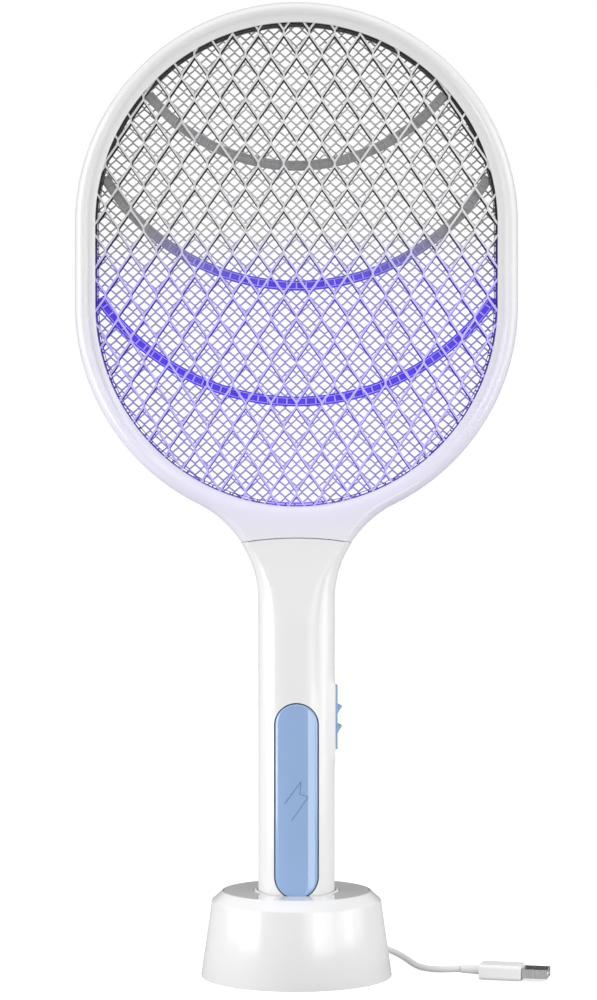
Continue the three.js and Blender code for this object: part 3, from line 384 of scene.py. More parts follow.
@dataclass(frozen=True)
class Finish:
    """One surface of the swatter: a colour with slight variation, its gloss and its grain."""

    name: str
    colour: Colour
    second: Colour
    roughness: tuple[float, float]
    metallic: float = 0.0
    grain: Grain = Grain.MOULDED
    grain_size: float = 900.0
    bump: float = 0.04
    coat: float = 0.0
    alpha: float = 1.0
    glow: Glow | None = None

    def make(self) -> bpy.types.Material:
        """Builds the material's nodes.

        Returns:
            The material.
        """
        material = bpy.data.materials.new(self.name)
        material.use_nodes = True
        nodes, links = material.node_tree.nodes, material.node_tree.links
        shader = nodes["Principled BSDF"]
        shader.inputs["Metallic"].default_value = self.metallic
        shader.inputs["Coat Weight"].default_value = self.coat
        shader.inputs["Alpha"].default_value = self.alpha
        place = nodes.new("ShaderNodeTexCoord")
        stretch = nodes.new("ShaderNodeMapping")
        stretch.inputs["Scale"].default_value = (1, 1, 0.06) if self.grain is Grain.BRUSHED else (1, 1, 1)
        links.new(place.outputs["Object"], stretch.inputs["Vector"])
        cloud = self._noise(material, stretch.outputs["Vector"], CLOUD_SCALE, 3)
        fine = self._noise(material, stretch.outputs["Vector"], self.grain_size, 4)
        colour = self._mix(material, cloud.outputs["Fac"], self.colour, self.second)
        if self.glow:
            colour = self._lit(material, place, shader, colour)
        links.new(colour, shader.inputs["Base Color"])
        gloss = nodes.new("ShaderNodeMapRange")
        gloss.inputs["From Min"].default_value = 0.3
        gloss.inputs["From Max"].default_value = 0.7
        gloss.inputs["To Min"].default_value = self.roughness[0]
        gloss.inputs["To Max"].default_value = self.roughness[1]
        links.new(fine.outputs["Fac"], gloss.inputs["Value"])
        links.new(gloss.outputs["Result"], shader.inputs["Roughness"])
        relief = nodes.new("ShaderNodeBump")
        relief.inputs["Strength"].default_value = self.bump
        relief.inputs["Distance"].default_value = RELIEF
        links.new(fine.outputs["Fac"], relief.inputs["Height"])
        links.new(relief.outputs["Normal"], shader.inputs["Normal"])
        return material

    @staticmethod
    def _noise(
        material: bpy.types.Material, vector: bpy.types.NodeSocket, scale: float, detail: float
    ) -> bpy.types.Node:
        """Adds a noise texture.

        Args:
            material: The material it belongs to.
            vector: What it reads.
            scale: Its scale, per metre.
            detail: Its octaves.

        Returns:
            The node.
        """
        noise = material.node_tree.nodes.new("ShaderNodeTexNoise")
        noise.inputs["Scale"].default_value = scale
        noise.inputs["Detail"].default_value = detail
        material.node_tree.links.new(vector, noise.inputs["Vector"])
        return noise

    @staticmethod
    def _mix(
        material: bpy.types.Material, factor: bpy.types.NodeSocket, first: object, second: object
    ) -> bpy.types.NodeSocket:
        """Mixes two colours.

        Args:
            material: The material it belongs to.
            factor: How much of the second colour shows.
            first: A colour, or a socket that gives one.
            second: A colour, or a socket that gives one.

        Returns:
            The mixed colour's socket.
        """
        mix = material.node_tree.nodes.new("ShaderNodeMix")
        mix.data_type = "RGBA"
        material.node_tree.links.new(factor, mix.inputs[MIX_FACTOR])
        for socket, value in ((mix.inputs[MIX_FIRST], first), (mix.inputs[MIX_SECOND], second)):
            if isinstance(value, bpy.types.NodeSocket):
                material.node_tree.links.new(value, socket)
            else:
                socket.default_value = (*value, 1)
        return mix.outputs[MIX_RESULT]

    def _lit(
        self,
        material: bpy.types.Material,
        place: bpy.types.Node,
        shader: bpy.types.Node,
        colour: bpy.types.NodeSocket,
    ) -> bpy.types.NodeSocket:
        """Paints the lamp's violet light over the colour.

        Args:
            material: The material it belongs to.
            place: The Texture Coordinate node.
            shader: The shader, which also gives off a little light: a painted glow on the grids, the real
                glow on the lamp's window.
            colour: The unlit colour.

        Returns:
            The lit colour's socket.
        """
        nodes, links = material.node_tree.nodes, material.node_tree.links
        split = nodes.new("ShaderNodeSeparateXYZ")
        links.new(place.outputs["Object"], split.inputs["Vector"])
        fade = nodes.new("ShaderNodeMapRange")
        fade.interpolation_type = "SMOOTHSTEP"
        fade.inputs["From Min"].default_value = self.glow.none_above
        fade.inputs["From Max"].default_value = self.glow.full_below
        links.new(split.outputs["Z"], fade.inputs["Value"])
        amount = fade.outputs["Result"]
        if self.glow.foot:
            amount = self._at_foot(material, split, amount)
        if self.glow.strength:
            shader.inputs["Emission Color"].default_value = (*self.glow.tint, 1)
            amount_of_light = self._times(material, amount, self.glow.strength)
            links.new(amount_of_light, shader.inputs["Emission Strength"])
        return self._mix(material, amount, colour, self.glow.tint)

    @staticmethod
    def _times(
        material: bpy.types.Material, first: bpy.types.NodeSocket, second: float | bpy.types.NodeSocket
    ) -> bpy.types.NodeSocket:
        """Multiplies two values.

        Args:
            material: The material it belongs to.
            first: A value's socket.
            second: A number or another socket.

        Returns:
            The product's socket.
        """
        node = material.node_tree.nodes.new("ShaderNodeMath")
        node.operation = "MULTIPLY"
        material.node_tree.links.new(first, node.inputs[0])
        if isinstance(second, bpy.types.NodeSocket):
            material.node_tree.links.new(second, node.inputs[1])
        else:
            node.inputs[1].default_value = second
        return node.outputs["Value"]

    def _at_foot(
        self, material: bpy.types.Material, split: bpy.types.Node, amount: bpy.types.NodeSocket
    ) -> bpy.types.NodeSocket:
        """Lets the painted violet light fade again below the opening.

        Args:
            material: The material it belongs to.
            split: The node that gives the height.
            amount: How much violet there is so far.

        Returns:
            The amount's socket.
        """
        fade = material.node_tree.nodes.new("ShaderNodeMapRange")
        fade.interpolation_type = "SMOOTHSTEP"
        fade.inputs["From Min"].default_value, fade.inputs["From Max"].default_value = self.glow.foot_span
        fade.inputs["To Min"].default_value = self.glow.foot
        material.node_tree.links.new(split.outputs["Z"], fade.inputs["Value"])
        return self._times(material, amount, fade.outputs["Result"])


@dataclass
class Finishes:
    """Every finish of the swatter, made once."""

    made: dict[str, bpy.types.Material] = field(default_factory=dict)

    def __post_init__(self) -> None:
        """Makes the materials."""
        # Heights between which the painted violet lamp light on the grids, ribs and mesh fades out.
        painted_violet_top, painted_violet_low = 0.376, 0.340
        for finish in (
            # The head's white casing has the lamp's violet light painted on below the opening, fading out
            # again towards the neck.
            Finish("head_white", (0.74, 0.74, 0.745), (0.725, 0.725, 0.73), (0.22, 0.27),
                   coat=0.3, bump=0.012,
                   glow=Glow((0.715, 0.695, 0.82), 0.25, 0.37, foot=0.45)),
            Finish("casing_white", (0.745, 0.745, 0.75), (0.73, 0.73, 0.735), (0.22, 0.27),
                   coat=0.3, bump=0.012),
            Finish("base_white", (0.72, 0.72, 0.725), (0.705, 0.705, 0.71), (0.22, 0.27),
                   coat=0.3, bump=0.012),
            Finish("base_grey", (0.46, 0.46, 0.465), (0.43, 0.43, 0.435), (0.42, 0.52), bump=0.08),
            Finish("plate_blue", (0.255, 0.385, 0.62), (0.24, 0.37, 0.60), (0.10, 0.14),
                   coat=0.6, bump=0.012),
            Finish("mark_blue", (0.07, 0.14, 0.32), (0.06, 0.13, 0.30), (0.4, 0.5)),
            Finish("seal_navy", (0.012, 0.022, 0.05), (0.01, 0.018, 0.042), (0.55, 0.7),
                   grain=Grain.RUBBERY, bump=0.1),
            Finish("knob_blue", (0.25, 0.37, 0.61), (0.23, 0.35, 0.59), (0.25, 0.32), bump=0.04),
            Finish("dark_plastic", (0.03, 0.03, 0.035), (0.022, 0.022, 0.026), (0.45, 0.6), bump=0.1),
            # Painted violet light: the grid, rib and mesh finishes below are tinted violet and give off a
            # faint painted glow low in the opening, fading out with height.
            Finish("grid_ring", (0.05, 0.05, 0.055), (0.04, 0.04, 0.045), (0.6, 0.75), bump=0.1,
                   glow=Glow((0.25, 0.20, 0.62), painted_violet_low, painted_violet_top, 0.10)),
            Finish("rib_fill", (0.40, 0.40, 0.405), (0.26, 0.26, 0.265), (0.45, 0.6), bump=0.1,
                   glow=Glow((0.085, 0.04, 0.72), painted_violet_low, painted_violet_top, 0.18)),
            Finish("rib_edge", (0.55, 0.55, 0.56), (0.12, 0.12, 0.125), (0.45, 0.6), bump=0.1,
                   glow=Glow((0.42, 0.34, 0.92), painted_violet_low, painted_violet_top, 0.12)),
            Finish("bright_grille", (0.72, 0.72, 0.74), (0.62, 0.62, 0.64), (0.30, 0.42), metallic=0.35,
                   grain=Grain.BRUSHED, glow=Glow((0.50, 0.44, 0.92), painted_violet_low, painted_violet_top, 0.10)),
            Finish("dark_grid", (0.018, 0.018, 0.02), (0.035, 0.035, 0.04), (0.4, 0.55), metallic=0.3,
                   grain=Grain.BRUSHED, glow=Glow((0.035, 0.008, 0.36), painted_violet_low, painted_violet_top, 0.12)),
            Finish("fine_mesh", (0.72, 0.72, 0.73), (0.66, 0.66, 0.67), (0.40, 0.5),
                   grain=Grain.BRUSHED, glow=Glow((0.46, 0.40, 0.80), painted_violet_low, painted_violet_top, 0.12)),
            Finish("lamp_violet", (0.35, 0.2, 0.9), (0.3, 0.16, 0.85), (0.1, 0.16), coat=0.5,
                   glow=Glow((0.5, 0.4, 1.0), 0.27, 0.36, 0.6)),
            Finish("steel", (0.62, 0.62, 0.63), (0.55, 0.55, 0.56), (0.22, 0.34), metallic=1.0,
                   grain=Grain.BRUSHED),
            Finish("brass", (0.82, 0.62, 0.27), (0.74, 0.55, 0.23), (0.2, 0.3), metallic=1.0,
                   grain=Grain.BRUSHED),
            Finish("board_green", (0.02, 0.17, 0.07), (0.015, 0.13, 0.05), (0.3, 0.45), coat=0.2),
            Finish("cell_blue", (0.05, 0.19, 0.5), (0.04, 0.16, 0.44), (0.25, 0.35), coat=0.2),
            Finish("rubber", (0.025, 0.025, 0.026), (0.018, 0.018, 0.019), (0.65, 0.8), grain=Grain.RUBBERY,
                   bump=0.2),
            Finish("jacket_white", (0.80, 0.80, 0.80), (0.77, 0.77, 0.77), (0.38, 0.48), grain=Grain.RUBBERY,
                   bump=0.06),
        ):
            self.made[finish.name] = finish.make()

    def __getitem__(self, name: str) -> bpy.types.Material:
        """Gives a material by its finish's name."""
        return self.made[name]


# ---------------------------------------------------------------- camera, light and floor


@dataclass
class Studio:
    """A pale floor, soft light and a camera level with the middle of the swatter."""

    distance: float = 1.395
    lens: float = 100.4
    aim_down: float = math.radians(0.51)
    aside: float = 0.001
    lift: float = 0.0075
    sensor: float = 36
    floor_half: float = 6.0
    card_light: float = 0.06
    sky_light: tuple[float, float] = (0.34, 0.74)

    def build(self) -> None:
        """Makes the camera, the lamps, the surroundings and the floor."""
        self.make_camera()
        self.make_world()
        self.make_lamps()
        self.make_floor()

    def make_camera(self) -> None:
        """Places the camera in front."""
        low, high = CAD_BOX
        middle = (high[2] - low[2]) / 2 + self.lift
        data = bpy.data.cameras.new("camera")
        data.lens = self.lens
        data.sensor_width = self.sensor
        data.clip_end = 50
        camera = bpy.data.objects.new("camera", data)
        camera.location = (self.aside, -self.distance, middle)
        camera.rotation_euler = (math.pi / 2 - self.aim_down, 0, 0)
        bpy.context.scene.collection.objects.link(camera)
        bpy.context.scene.camera = camera

    def make_world(self) -> None:
        """Surrounds the swatter with white, softer from below and with a black card behind its outline."""
        scene = bpy.context.scene
        scene.view_settings.view_transform = "Standard"
        world = bpy.data.worlds.new("studio")
        scene.world = world
        world.use_nodes = True
        nodes, links = world.node_tree.nodes, world.node_tree.links
        soft = nodes["Background"]
        soft.inputs["Color"].default_value = (1, 1, 1, 1)
        direction = nodes.new("ShaderNodeTexCoord")
        back = self.dot(world, direction.outputs["Generated"], (0, 1, 0))
        card = self.ramp(world, back, (0.80, 0.93), (1.0, self.card_light))
        rise = self.dot(world, direction.outputs["Generated"], (0, 0, 1))
        sky = self.ramp(world, rise, (-0.4, 0.9), self.sky_light)
        power = nodes.new("ShaderNodeMath")
        power.operation = "MULTIPLY"
        links.new(card, power.inputs[0])
        links.new(sky, power.inputs[1])
        links.new(power.outputs["Value"], soft.inputs["Strength"])
        seen = nodes.new("ShaderNodeBackground")
        seen.inputs["Color"].default_value = (1, 1, 1, 1)
        seen.inputs["Strength"].default_value = 1.0
        ray = nodes.new("ShaderNodeLightPath")
        choose = nodes.new("ShaderNodeMixShader")
        links.new(ray.outputs["Is Camera Ray"], choose.inputs["Fac"])
        links.new(soft.outputs["Background"], choose.inputs[1])
        links.new(seen.outputs["Background"], choose.inputs[2])
        links.new(choose.outputs["Shader"], nodes["World Output"].inputs["Surface"])

    @staticmethod
    def dot(world: bpy.types.World, vector: bpy.types.NodeSocket, axis: Point) -> bpy.types.NodeSocket:
        """Measures how far a direction points along an axis.

        Args:
            world: The surroundings.
            vector: The direction's socket.
            axis: The axis.

        Returns:
            The measure's socket.
        """
        node = world.node_tree.nodes.new("ShaderNodeVectorMath")
        node.operation = "DOT_PRODUCT"
        node.inputs[1].default_value = axis
        world.node_tree.links.new(vector, node.inputs[0])
        return node.outputs["Value"]

    @staticmethod
    def ramp(
        world: bpy.types.World,
        value: bpy.types.NodeSocket,
        span: tuple[float, float],
        light: tuple[float, float],
    ) -> bpy.types.NodeSocket:
        """Turns a measure into a light level.

        Args:
            world: The surroundings.
            value: The measure's socket.
            span: Where the change starts and ends.
            light: The light level at either end.

        Returns:
            The light level's socket.
        """
        node = world.node_tree.nodes.new("ShaderNodeMapRange")
        node.interpolation_type = "SMOOTHSTEP"
        node.inputs["From Min"].default_value, node.inputs["From Max"].default_value = span
        node.inputs["To Min"].default_value, node.inputs["To Max"].default_value = light
        world.node_tree.links.new(value, node.inputs["Value"])
        return node.outputs["Result"]

    def make_lamps(self) -> None:
        """Hangs softboxes at both sides, in front and above."""
        for name, place, size, power in (
            ("left_box", (-1.6, -0.2, 0.4), (1.1, 2.0), 16.5),
            ("right_box", (1.7, -0.25, 0.4), (0.9, 2.0), 13),
            ("key_box", (0.71, -1.85, 0.45), (0.85, 2.2), 12.0),
            ("top_box", (0.0, -0.3, 2.2), (2.2, 2.0), 13.5),
            ("panel_reflector", (0.14, -0.215, 0.066), (0.12, 0.125), 0.16),
            ("low_left", (-0.55, -0.3, 0.10), (0.3, 0.2), 1.15),
            ("low_right", (0.6, -0.3, 0.10), (0.3, 0.2), 0.60),
        ):
            data = bpy.data.lights.new(name, "AREA")
            data.shape = "RECTANGLE"
            data.size, data.size_y = size
            data.energy = power
            lamp = bpy.data.objects.new(name, data)
            lamp.location = place
            aim = Vector((0, 0, min(0.26, place[2]))) - Vector(place)
            lamp.rotation_euler = aim.to_track_quat("-Z", "Y").to_euler()
            bpy.context.scene.collection.objects.link(lamp)
            if name == "panel_reflector":
                lamp.visible_camera = False
                lamp.visible_diffuse = False

    def make_floor(self) -> None:
        """Lays the floor."""
        deselect()
        bpy.ops.mesh.primitive_plane_add(size=2 * self.floor_half)
        floor = named("floor")
        material = bpy.data.materials.new("floor_white")
        material.use_nodes = True
        nodes, links = material.node_tree.nodes, material.node_tree.links
        shader = nodes["Principled BSDF"]
        shader.inputs["Roughness"].default_value = 0.75
        shader.inputs["Specular IOR Level"].default_value = 0.15
        place = nodes.new("ShaderNodeTexCoord")
        noise = nodes.new("ShaderNodeTexNoise")
        noise.inputs["Scale"].default_value = 3
        links.new(place.outputs["Object"], noise.inputs["Vector"])
        ramp = nodes.new("ShaderNodeMapRange")
        ramp.inputs["To Min"].default_value = 0.50
        ramp.inputs["To Max"].default_value = 0.52
        links.new(noise.outputs["Fac"], ramp.inputs["Value"])
        links.new(ramp.outputs["Result"], shader.inputs["Base Color"])
        shader.inputs["Emission Color"].default_value = (1, 1, 1, 1)
        ray = nodes.new("ShaderNodeLightPath")
        lift = nodes.new("ShaderNodeMath")
        lift.operation = "MULTIPLY"
        lift.inputs[1].default_value = 0.75
        links.new(ray.outputs["Is Camera Ray"], lift.inputs[0])
        links.new(lift.outputs["Value"], shader.inputs["Emission Strength"])
        floor.data.materials.append(material)


# ---------------------------------------------------------------- the casing's shape


@dataclass
class CasingForm:
    """The outside of head, neck and handle as one continuous surface."""

    neck_fillet: float = 53.4 * MM
    seam_rise: float = 28.7 * MM
    seam_crown: float = 2.3 * MM
    seam_gap: float = 0.18 * MM
    lip: float = 3.4 * MM
    crease_drop: float = 2.5 * MM
    crease_reach: float = 3.2 * MM
    rim_round: float = 5.0 * MM
    rim_round_depth: float = 7.0 * MM
    grip_round: float = 15.0 * MM
    grip_round_depth: float = 12.5 * MM
    parting: float = 0.12 * MM
    split: float = 0.35
    crease_fade: float = 0.85
    fade_start: float = math.radians(15)
    fade_span: float = math.radians(45)
    boss_rise: float = 0.4 * MM

    def __post_init__(self) -> None:
        """Reads the overall sizes off the frame's nodes."""
        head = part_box("head_front_frame")
        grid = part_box("centre_grid")
        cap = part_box("handle_end_cap")
        self.head_r = head[1].x
        self.half_depth = -head[0].y
        self.high_z = head[1].z - self.head_r
        self.low_z = grid[0].z + grid[1].x
        self.opening_r = grid[1].x + 0.3 * MM
        self.grip_half = cap[1].x
        self.grip_half_depth = cap[1].y
        self.bottom = cap[0].z
        self.fillet_x = self.grip_half + self.neck_fillet
        reach = self.head_r + self.neck_fillet
        self.neck_z = self.low_z - math.sqrt(reach**2 - self.fillet_x**2)
        self.touch = math.atan2(self.low_z - self.neck_z, self.fillet_x)
        self.seam_z = self.neck_z + self.seam_rise
        self.seam_angle = math.asin(self.seam_rise / self.neck_fillet)
        self.crease_r = self.opening_r + self.lip

    def share(self, z: np.ndarray) -> np.ndarray:
        """How far the section has changed from the grip's to the head's, from 0 to 1."""
        start = self.neck_z - self.seam_rise / 2
        t = np.clip((z - start) / (self.seam_z - start), 0, 1)
        return ease(t)

    def rounding(self, z: np.ndarray) -> tuple[np.ndarray, np.ndarray, np.ndarray]:
        """The section at height z.

        Args:
            z: Heights.

        Returns:
            The half-depth, and the rounding across and in depth.
        """
        t = self.share(z)
        depth = self.grip_half_depth * (1 - t) + self.half_depth * t
        across = self.grip_round * (1 - t) + self.rim_round * t
        down = self.grip_round_depth * (1 - t) + self.rim_round_depth * t
        return depth, across, down

    def from_spine(self, x: np.ndarray, z: np.ndarray) -> np.ndarray:
        """The distance of points from the straight spine in the middle of the opening."""
        nearest = np.clip(z, self.low_z, self.high_z)
        return np.hypot(x, z - nearest)

    def crease(self, x: np.ndarray, z: np.ndarray) -> np.ndarray:
        """How far the surface sinks towards the crease round the opening's lip."""
        away = self.from_spine(x, z) - self.crease_r
        q = np.clip(1 - away / self.crease_reach, 0, 1)
        return self.drop_at(x, z) * q**2

    def drop_at(self, x: np.ndarray, z: np.ndarray) -> np.ndarray:
        """How deep the crease is: full at the top and shallow below the opening."""
        lower = np.arctan2(self.low_z - z, np.abs(x) + 1e-9)
        t = np.clip((lower - self.fade_start) / self.fade_span, 0, 1)
        return self.crease_drop * (1 - self.crease_fade * ease(t))

    def outline(self, turn: float) -> tuple[np.ndarray, np.ndarray, np.ndarray]:
        """A point of the head's right-hand outline, from the seam up to the top.

        Args:
            turn: 0 at the seam, 1 where the neck meets the head and 2 at the top.

        Returns:
            The point, the direction inwards, and the point that the surface runs to inside.
        """
        if turn <= 1:
            angle = self.seam_angle + (self.touch - self.seam_angle) * turn
            inward = np.array([-math.cos(angle), math.sin(angle)])
            point = np.array([self.fillet_x, self.neck_z]) + self.neck_fillet * inward
            crease_low = self.low_z - self.crease_r
            if turn < self.split:
                inner = np.array([0.0, self.seam_z + self.seam_crown])
                inner[1] += (crease_low - inner[1]) * (turn / self.split)
            else:
                swing = -math.pi / 2 + (math.pi / 2 - self.touch) * (turn - self.split) / (1 - self.split)
                reach = np.array([math.cos(swing), math.sin(swing)])
                inner = np.array([0.0, self.low_z]) + self.crease_r * reach
            return point, inward, inner
        low_arc = self.touch * self.head_r
        straight = self.high_z - self.low_z
        top_arc = math.pi / 2 * self.head_r
        along = (turn - 1) * (low_arc + straight + top_arc)
        if along < low_arc:
            angle, centre = -self.touch + along / self.head_r, self.low_z
        elif along < low_arc + straight:
            angle, centre = 0.0, self.low_z + along - low_arc
        else:
            angle, centre = (along - low_arc - straight) / self.head_r, self.high_z
        out = np.array([math.cos(angle), math.sin(angle)])
        middle = np.array([0.0, centre])
        return middle + self.head_r * out, -out, middle + self.crease_r * out

    def bow(self, x: np.ndarray) -> np.ndarray:
        """The seam's height at x."""
        half = self.fillet_x - self.neck_fillet * math.cos(self.seam_angle)
        return self.seam_z + self.seam_crown * (1 - (x / half) ** 2)


@dataclass
class CasingPatch:
    """How finely the casing's surface is divided."""

    corner_steps: int = 12
    inner_steps: int = 9

    @property
    def rows(self) -> int:
        """Faces from the side to the inner end."""
        return 1 + self.corner_steps + self.inner_steps

    def profile(
        self, form: CasingForm, point: np.ndarray, inward: np.ndarray, inner: np.ndarray
    ) -> np.ndarray:
        """One line of the surface from the side to its inner end.

        Args:
            form: The casing's form.
            point: Where the line starts on the outline.
            inward: The direction inwards there.
            inner: Where it ends.

        Returns:
            Rows of x, y and z, with y negative at the front.
        """
        depth, across, down = (float(v) for v in form.rounding(np.array(point[1])))
        angles = np.linspace(0, math.pi / 2, self.corner_steps + 1)
        corner = point + np.outer(across * (1 - np.cos(angles)), inward)
        flat = np.linspace(corner[-1], inner, self.inner_steps + 1)[1:]
        plan = np.vstack([corner[:1], corner, flat])
        height = np.full(len(plan), depth)
        height[1 : self.corner_steps + 2] = depth - down * (1 - np.sin(angles))
        height -= form.crease(plan[:, 0], plan[:, 1])
        height[0] = form.parting
        return np.column_stack([plan[:, 0], -height, plan[:, 1]])


@dataclass
class Head:
    """The head: both halves of its casing round the opening."""

    form: CasingForm
    finishes: Finishes
    patch: CasingPatch = field(default_factory=CasingPatch)
    wall: float = 1.7 * MM
    neck_lines: int = 44
    ring_lines: int = 150
    edge_drop: float = 2.9 * MM
    wall_foot: float = 7.2 * MM

    def build(self) -> None:
        """Makes the two halves."""
        front = self.half("head_front")
        rear = self.mirrored(front, "head_rear")
        for piece, node in ((front, "head_front_frame"), (rear, "head_rear_frame")):
            # The head's finish carries painted violet lamp light on its lower part.
            settle(piece, "racket", self.finishes["head_white"], "white_casing", [node])

    def half(self, name: str) -> bpy.types.Object:
        """Makes the front half.

        Args:
            name: The piece's name.

        Returns:
            The finished half.
        """
        split = self.form.split
        below = round(self.neck_lines * split)
        turns = np.concatenate([
            np.linspace(0, split, below)[:-1],
            np.linspace(split, 1, self.neck_lines - below)[:-1],
            np.linspace(1, 2, self.ring_lines),
        ])
        lines = [self.patch.profile(self.form, *self.form.outline(t)) for t in turns]
        lip = self.lip_ring([line[-1] for line in lines[below - 1 :]])
        self.fit_seam(lines)
        mirror = [line * np.array([-1, 1, 1]) for line in lines[::-1]]
        lines += mirror[1:]
        shell = grid_sheet(name, len(lines) - 1, self.patch.rows)
        lay_on(shell, np.array(lines))
        for part in (shell, lip):
            face_out(part)
        piece = join([shell, lip], name)
        tidy(piece, 4e-6, outward=False)
        modify(piece, "SOLIDIFY", thickness=self.wall, offset=-1)
        smooth(piece, 40)
        return piece

    def fit_seam(self, lines: list[np.ndarray]) -> None:
        """Bends the lowest lines so that the first follows the seam.

        Args:
            lines: The surface's lines, changed in place.
        """
        reach = self.neck_lines // 2
        for i, line in enumerate(lines[:reach]):
            weight = (1 - i / reach) ** 2
            low = lines[0][:, 2] if i == 0 else line[:, 2]
            target = self.form.bow(line[:, 0]) + self.form.seam_gap
            if i == 0:
                start = low.copy()
                shift = target - start
                shares = np.linspace(0, 1, len(line))
            line[:, 2] += np.interp(np.linspace(0, 1, len(line)), shares, shift) * weight

    def lip_ring(self, crease: Sequence[np.ndarray]) -> bpy.types.Object:
        """Makes the sloped lip between the crease and the opening, and the wall inside it.

        Args:
            crease: The crease's points from the bottom up to the top, on the right.

        Returns:
            The lip.
        """
        form = self.form
        edge = form.half_depth - self.edge_drop
        profile = [(0.0, 0.0), (0.15, 0.05), (0.40, 0.22), (0.68, 0.52), (0.86, 0.78), (0.95, 0.92),
                   (1.0, 1.12)]
        loop = [*crease, *(point * np.array([-1, 1, 1]) for point in crease[::-1][1:])]
        ring = grid_sheet("lip", len(loop) - 1, len(profile))

        def place(p: np.ndarray) -> np.ndarray:
            """Sweeps the profile round the opening."""
            places = np.zeros_like(p)
            for k, (u, v, _) in enumerate(p):
                x, y, z = loop[round(u * (len(loop) - 1))]
                middle = min(max(z, form.low_z), form.high_z)
                out = np.array([x, z - middle]) / form.crease_r
                row = round(v * len(profile))
                inward, fall = profile[min(row, len(profile) - 1)]
                radius = form.crease_r - inward * form.lip
                height = -y + (edge + y) * fall if row < len(profile) else self.wall_foot
                places[k] = (radius * out[0], -height, middle + radius * out[1])
            return places

        warp(ring, place)
        tidy(ring, 1e-6, outward=False)
        return ring

    @staticmethod
    def mirrored(piece: bpy.types.Object, name: str) -> bpy.types.Object:
        """Copies a piece to the back.

        Args:
            piece: The front piece.
            name: The copy's name.

        Returns:
            The copy.
        """
        activate(piece)
        bpy.ops.object.duplicate()
        copy = named(name)
        warp(copy, lambda p: p * np.array([1, -1, 1]))
        with editing(copy):
            bpy.ops.mesh.flip_normals()
        smooth(copy, 40)
        return copy


# ---------------------------------------------------------------- grilles


@dataclass
class Lattice:
    """A sheet of expanded metal: diamonds joined by short upright bonds."""

    name: str
    width: float
    height: float
    bond: float
    strip: float
    thick: float
    depth: float
    reach: float
    drop: float = 0.0
    top_cell: float = 84.4 * MM
    edge_steps: int = 56

    def build(self, form: CasingForm) -> bpy.types.Object:
        """Makes the sheet and trims it to the opening.

        Args:
            form: The casing's form, for the opening's shape.

        Returns:
            The finished sheet.
        """
        piece = self.cell()
        self.spread(piece, form)
        self.trim(piece, form)
        modify(piece, "SOLIDIFY", thickness=self.thick, offset=0)
        log.info("%s has %d faces", self.name, len(piece.data.polygons))
        return piece

    def cell(self) -> bpy.types.Object:
        """Makes one diamond's frame out of a six-sided face."""
        deselect()
        bpy.ops.mesh.primitive_circle_add(vertices=6, radius=1, fill_type="NGON")
        piece = named(self.name)
        half_w = self.width / 2
        half_h = (self.height - self.bond) / 2
        half_b = self.bond / 2
        corners = [(0, half_h), (-half_w, half_b), (-half_w, -half_b), (0, -half_h), (half_w, -half_b),
                   (half_w, half_b)]
        warp(piece, lambda p: np.array([[x, self.depth, z] for x, z in corners]))
        with editing(piece):
            bpy.ops.mesh.inset(thickness=self.strip / 2, depth=0)
            bpy.ops.mesh.delete(type="FACE")
        return piece

    def spread(self, piece: bpy.types.Object, form: CasingForm) -> None:
        """Repeats the diamond over the whole opening.

        Args:
            piece: One diamond.
            form: The casing's form.
        """
        centre = form.high_z + self.top_cell - self.height / 2 - self.drop
        across = math.ceil(self.reach / self.width) + 1
        activate(piece)
        bpy.ops.object.duplicate()
        second = bpy.context.view_layer.objects.active
        shift = np.array([self.width / 2, 0, self.height / 2])
        warp(second, lambda p: p + shift)
        joined = join([piece, second], self.name)
        down = math.ceil((centre - form.low_z + self.reach) / self.height) + 1
        up = math.ceil((form.high_z + self.reach - centre) / self.height) + 1
        start = np.array([-across * self.width, 0, centre - down * self.height])
        warp(joined, lambda p: p + start)
        for count, offset in ((2 * across + 1, (self.width, 0, 0)), (down + up + 1, (0, 0, self.height))):
            modify(
                joined,
                "ARRAY",
                count=count,
                use_relative_offset=False,
                use_constant_offset=True,
                constant_offset_displace=offset,
            )
        tidy(joined, 1e-5, outward=False)

    def trim(self, piece: bpy.types.Object, form: CasingForm) -> None:
        """Cuts the sheet along straight lines round the opening's edge.

        Args:
            piece: The sheet.
            form: The casing's form.
        """
        with editing(piece):
            for i in range(self.edge_steps):
                angle = 2 * math.pi * (i + 0.5) / self.edge_steps
                out = Vector((math.cos(angle), 0, math.sin(angle)))
                centre = form.high_z if out.z > 0 else form.low_z
                bpy.ops.mesh.select_all(action="SELECT")
                bpy.ops.mesh.bisect(
                    plane_co=Vector((0, self.depth, centre)) + self.reach * out,
                    plane_no=out,
                    clear_outer=True,
                )


@dataclass
class PerforatedBand:
    """A flat band with punched slots."""

    name: str
    line: Callable[[float], tuple[float, float]]
    cells: int
    width: float
    web: float
    depth: float
    thick: float
    closed: bool = False

    def build(self) -> bpy.types.Object:
        """Makes the band.

        Returns:
            The finished band.
        """
        band = grid_sheet(self.name, self.cells, 1)

        def place(p: np.ndarray) -> np.ndarray:
            """Bends the grid along the band's line."""
            places = np.zeros_like(p)
            for k, (u, v, _) in enumerate(p):
                here = np.array(self.line(u))
                step = 1e-4
                ahead, behind = np.array(self.line(u + step)), np.array(self.line(u - step))
                along = (ahead - behind) / np.linalg.norm(ahead - behind)
                across = np.array([-along[1], along[0]])
                x, z = here + across * (v - 0.5) * self.width
                places[k] = (x, self.depth, z)
            return places

        warp(band, place)
        if self.closed:
            tidy(band, 1e-5, outward=False)
        if self.web:
            with editing(band):
                bpy.ops.mesh.inset(thickness=self.web, depth=0, use_individual=True)
                bpy.ops.mesh.bevel(affect="VERTICES", offset=self.web * 0.9, segments=2, clamp_overlap=True)
                bpy.ops.mesh.delete(type="FACE")
        modify(band, "SOLIDIFY", thickness=self.thick, offset=0)
        return band


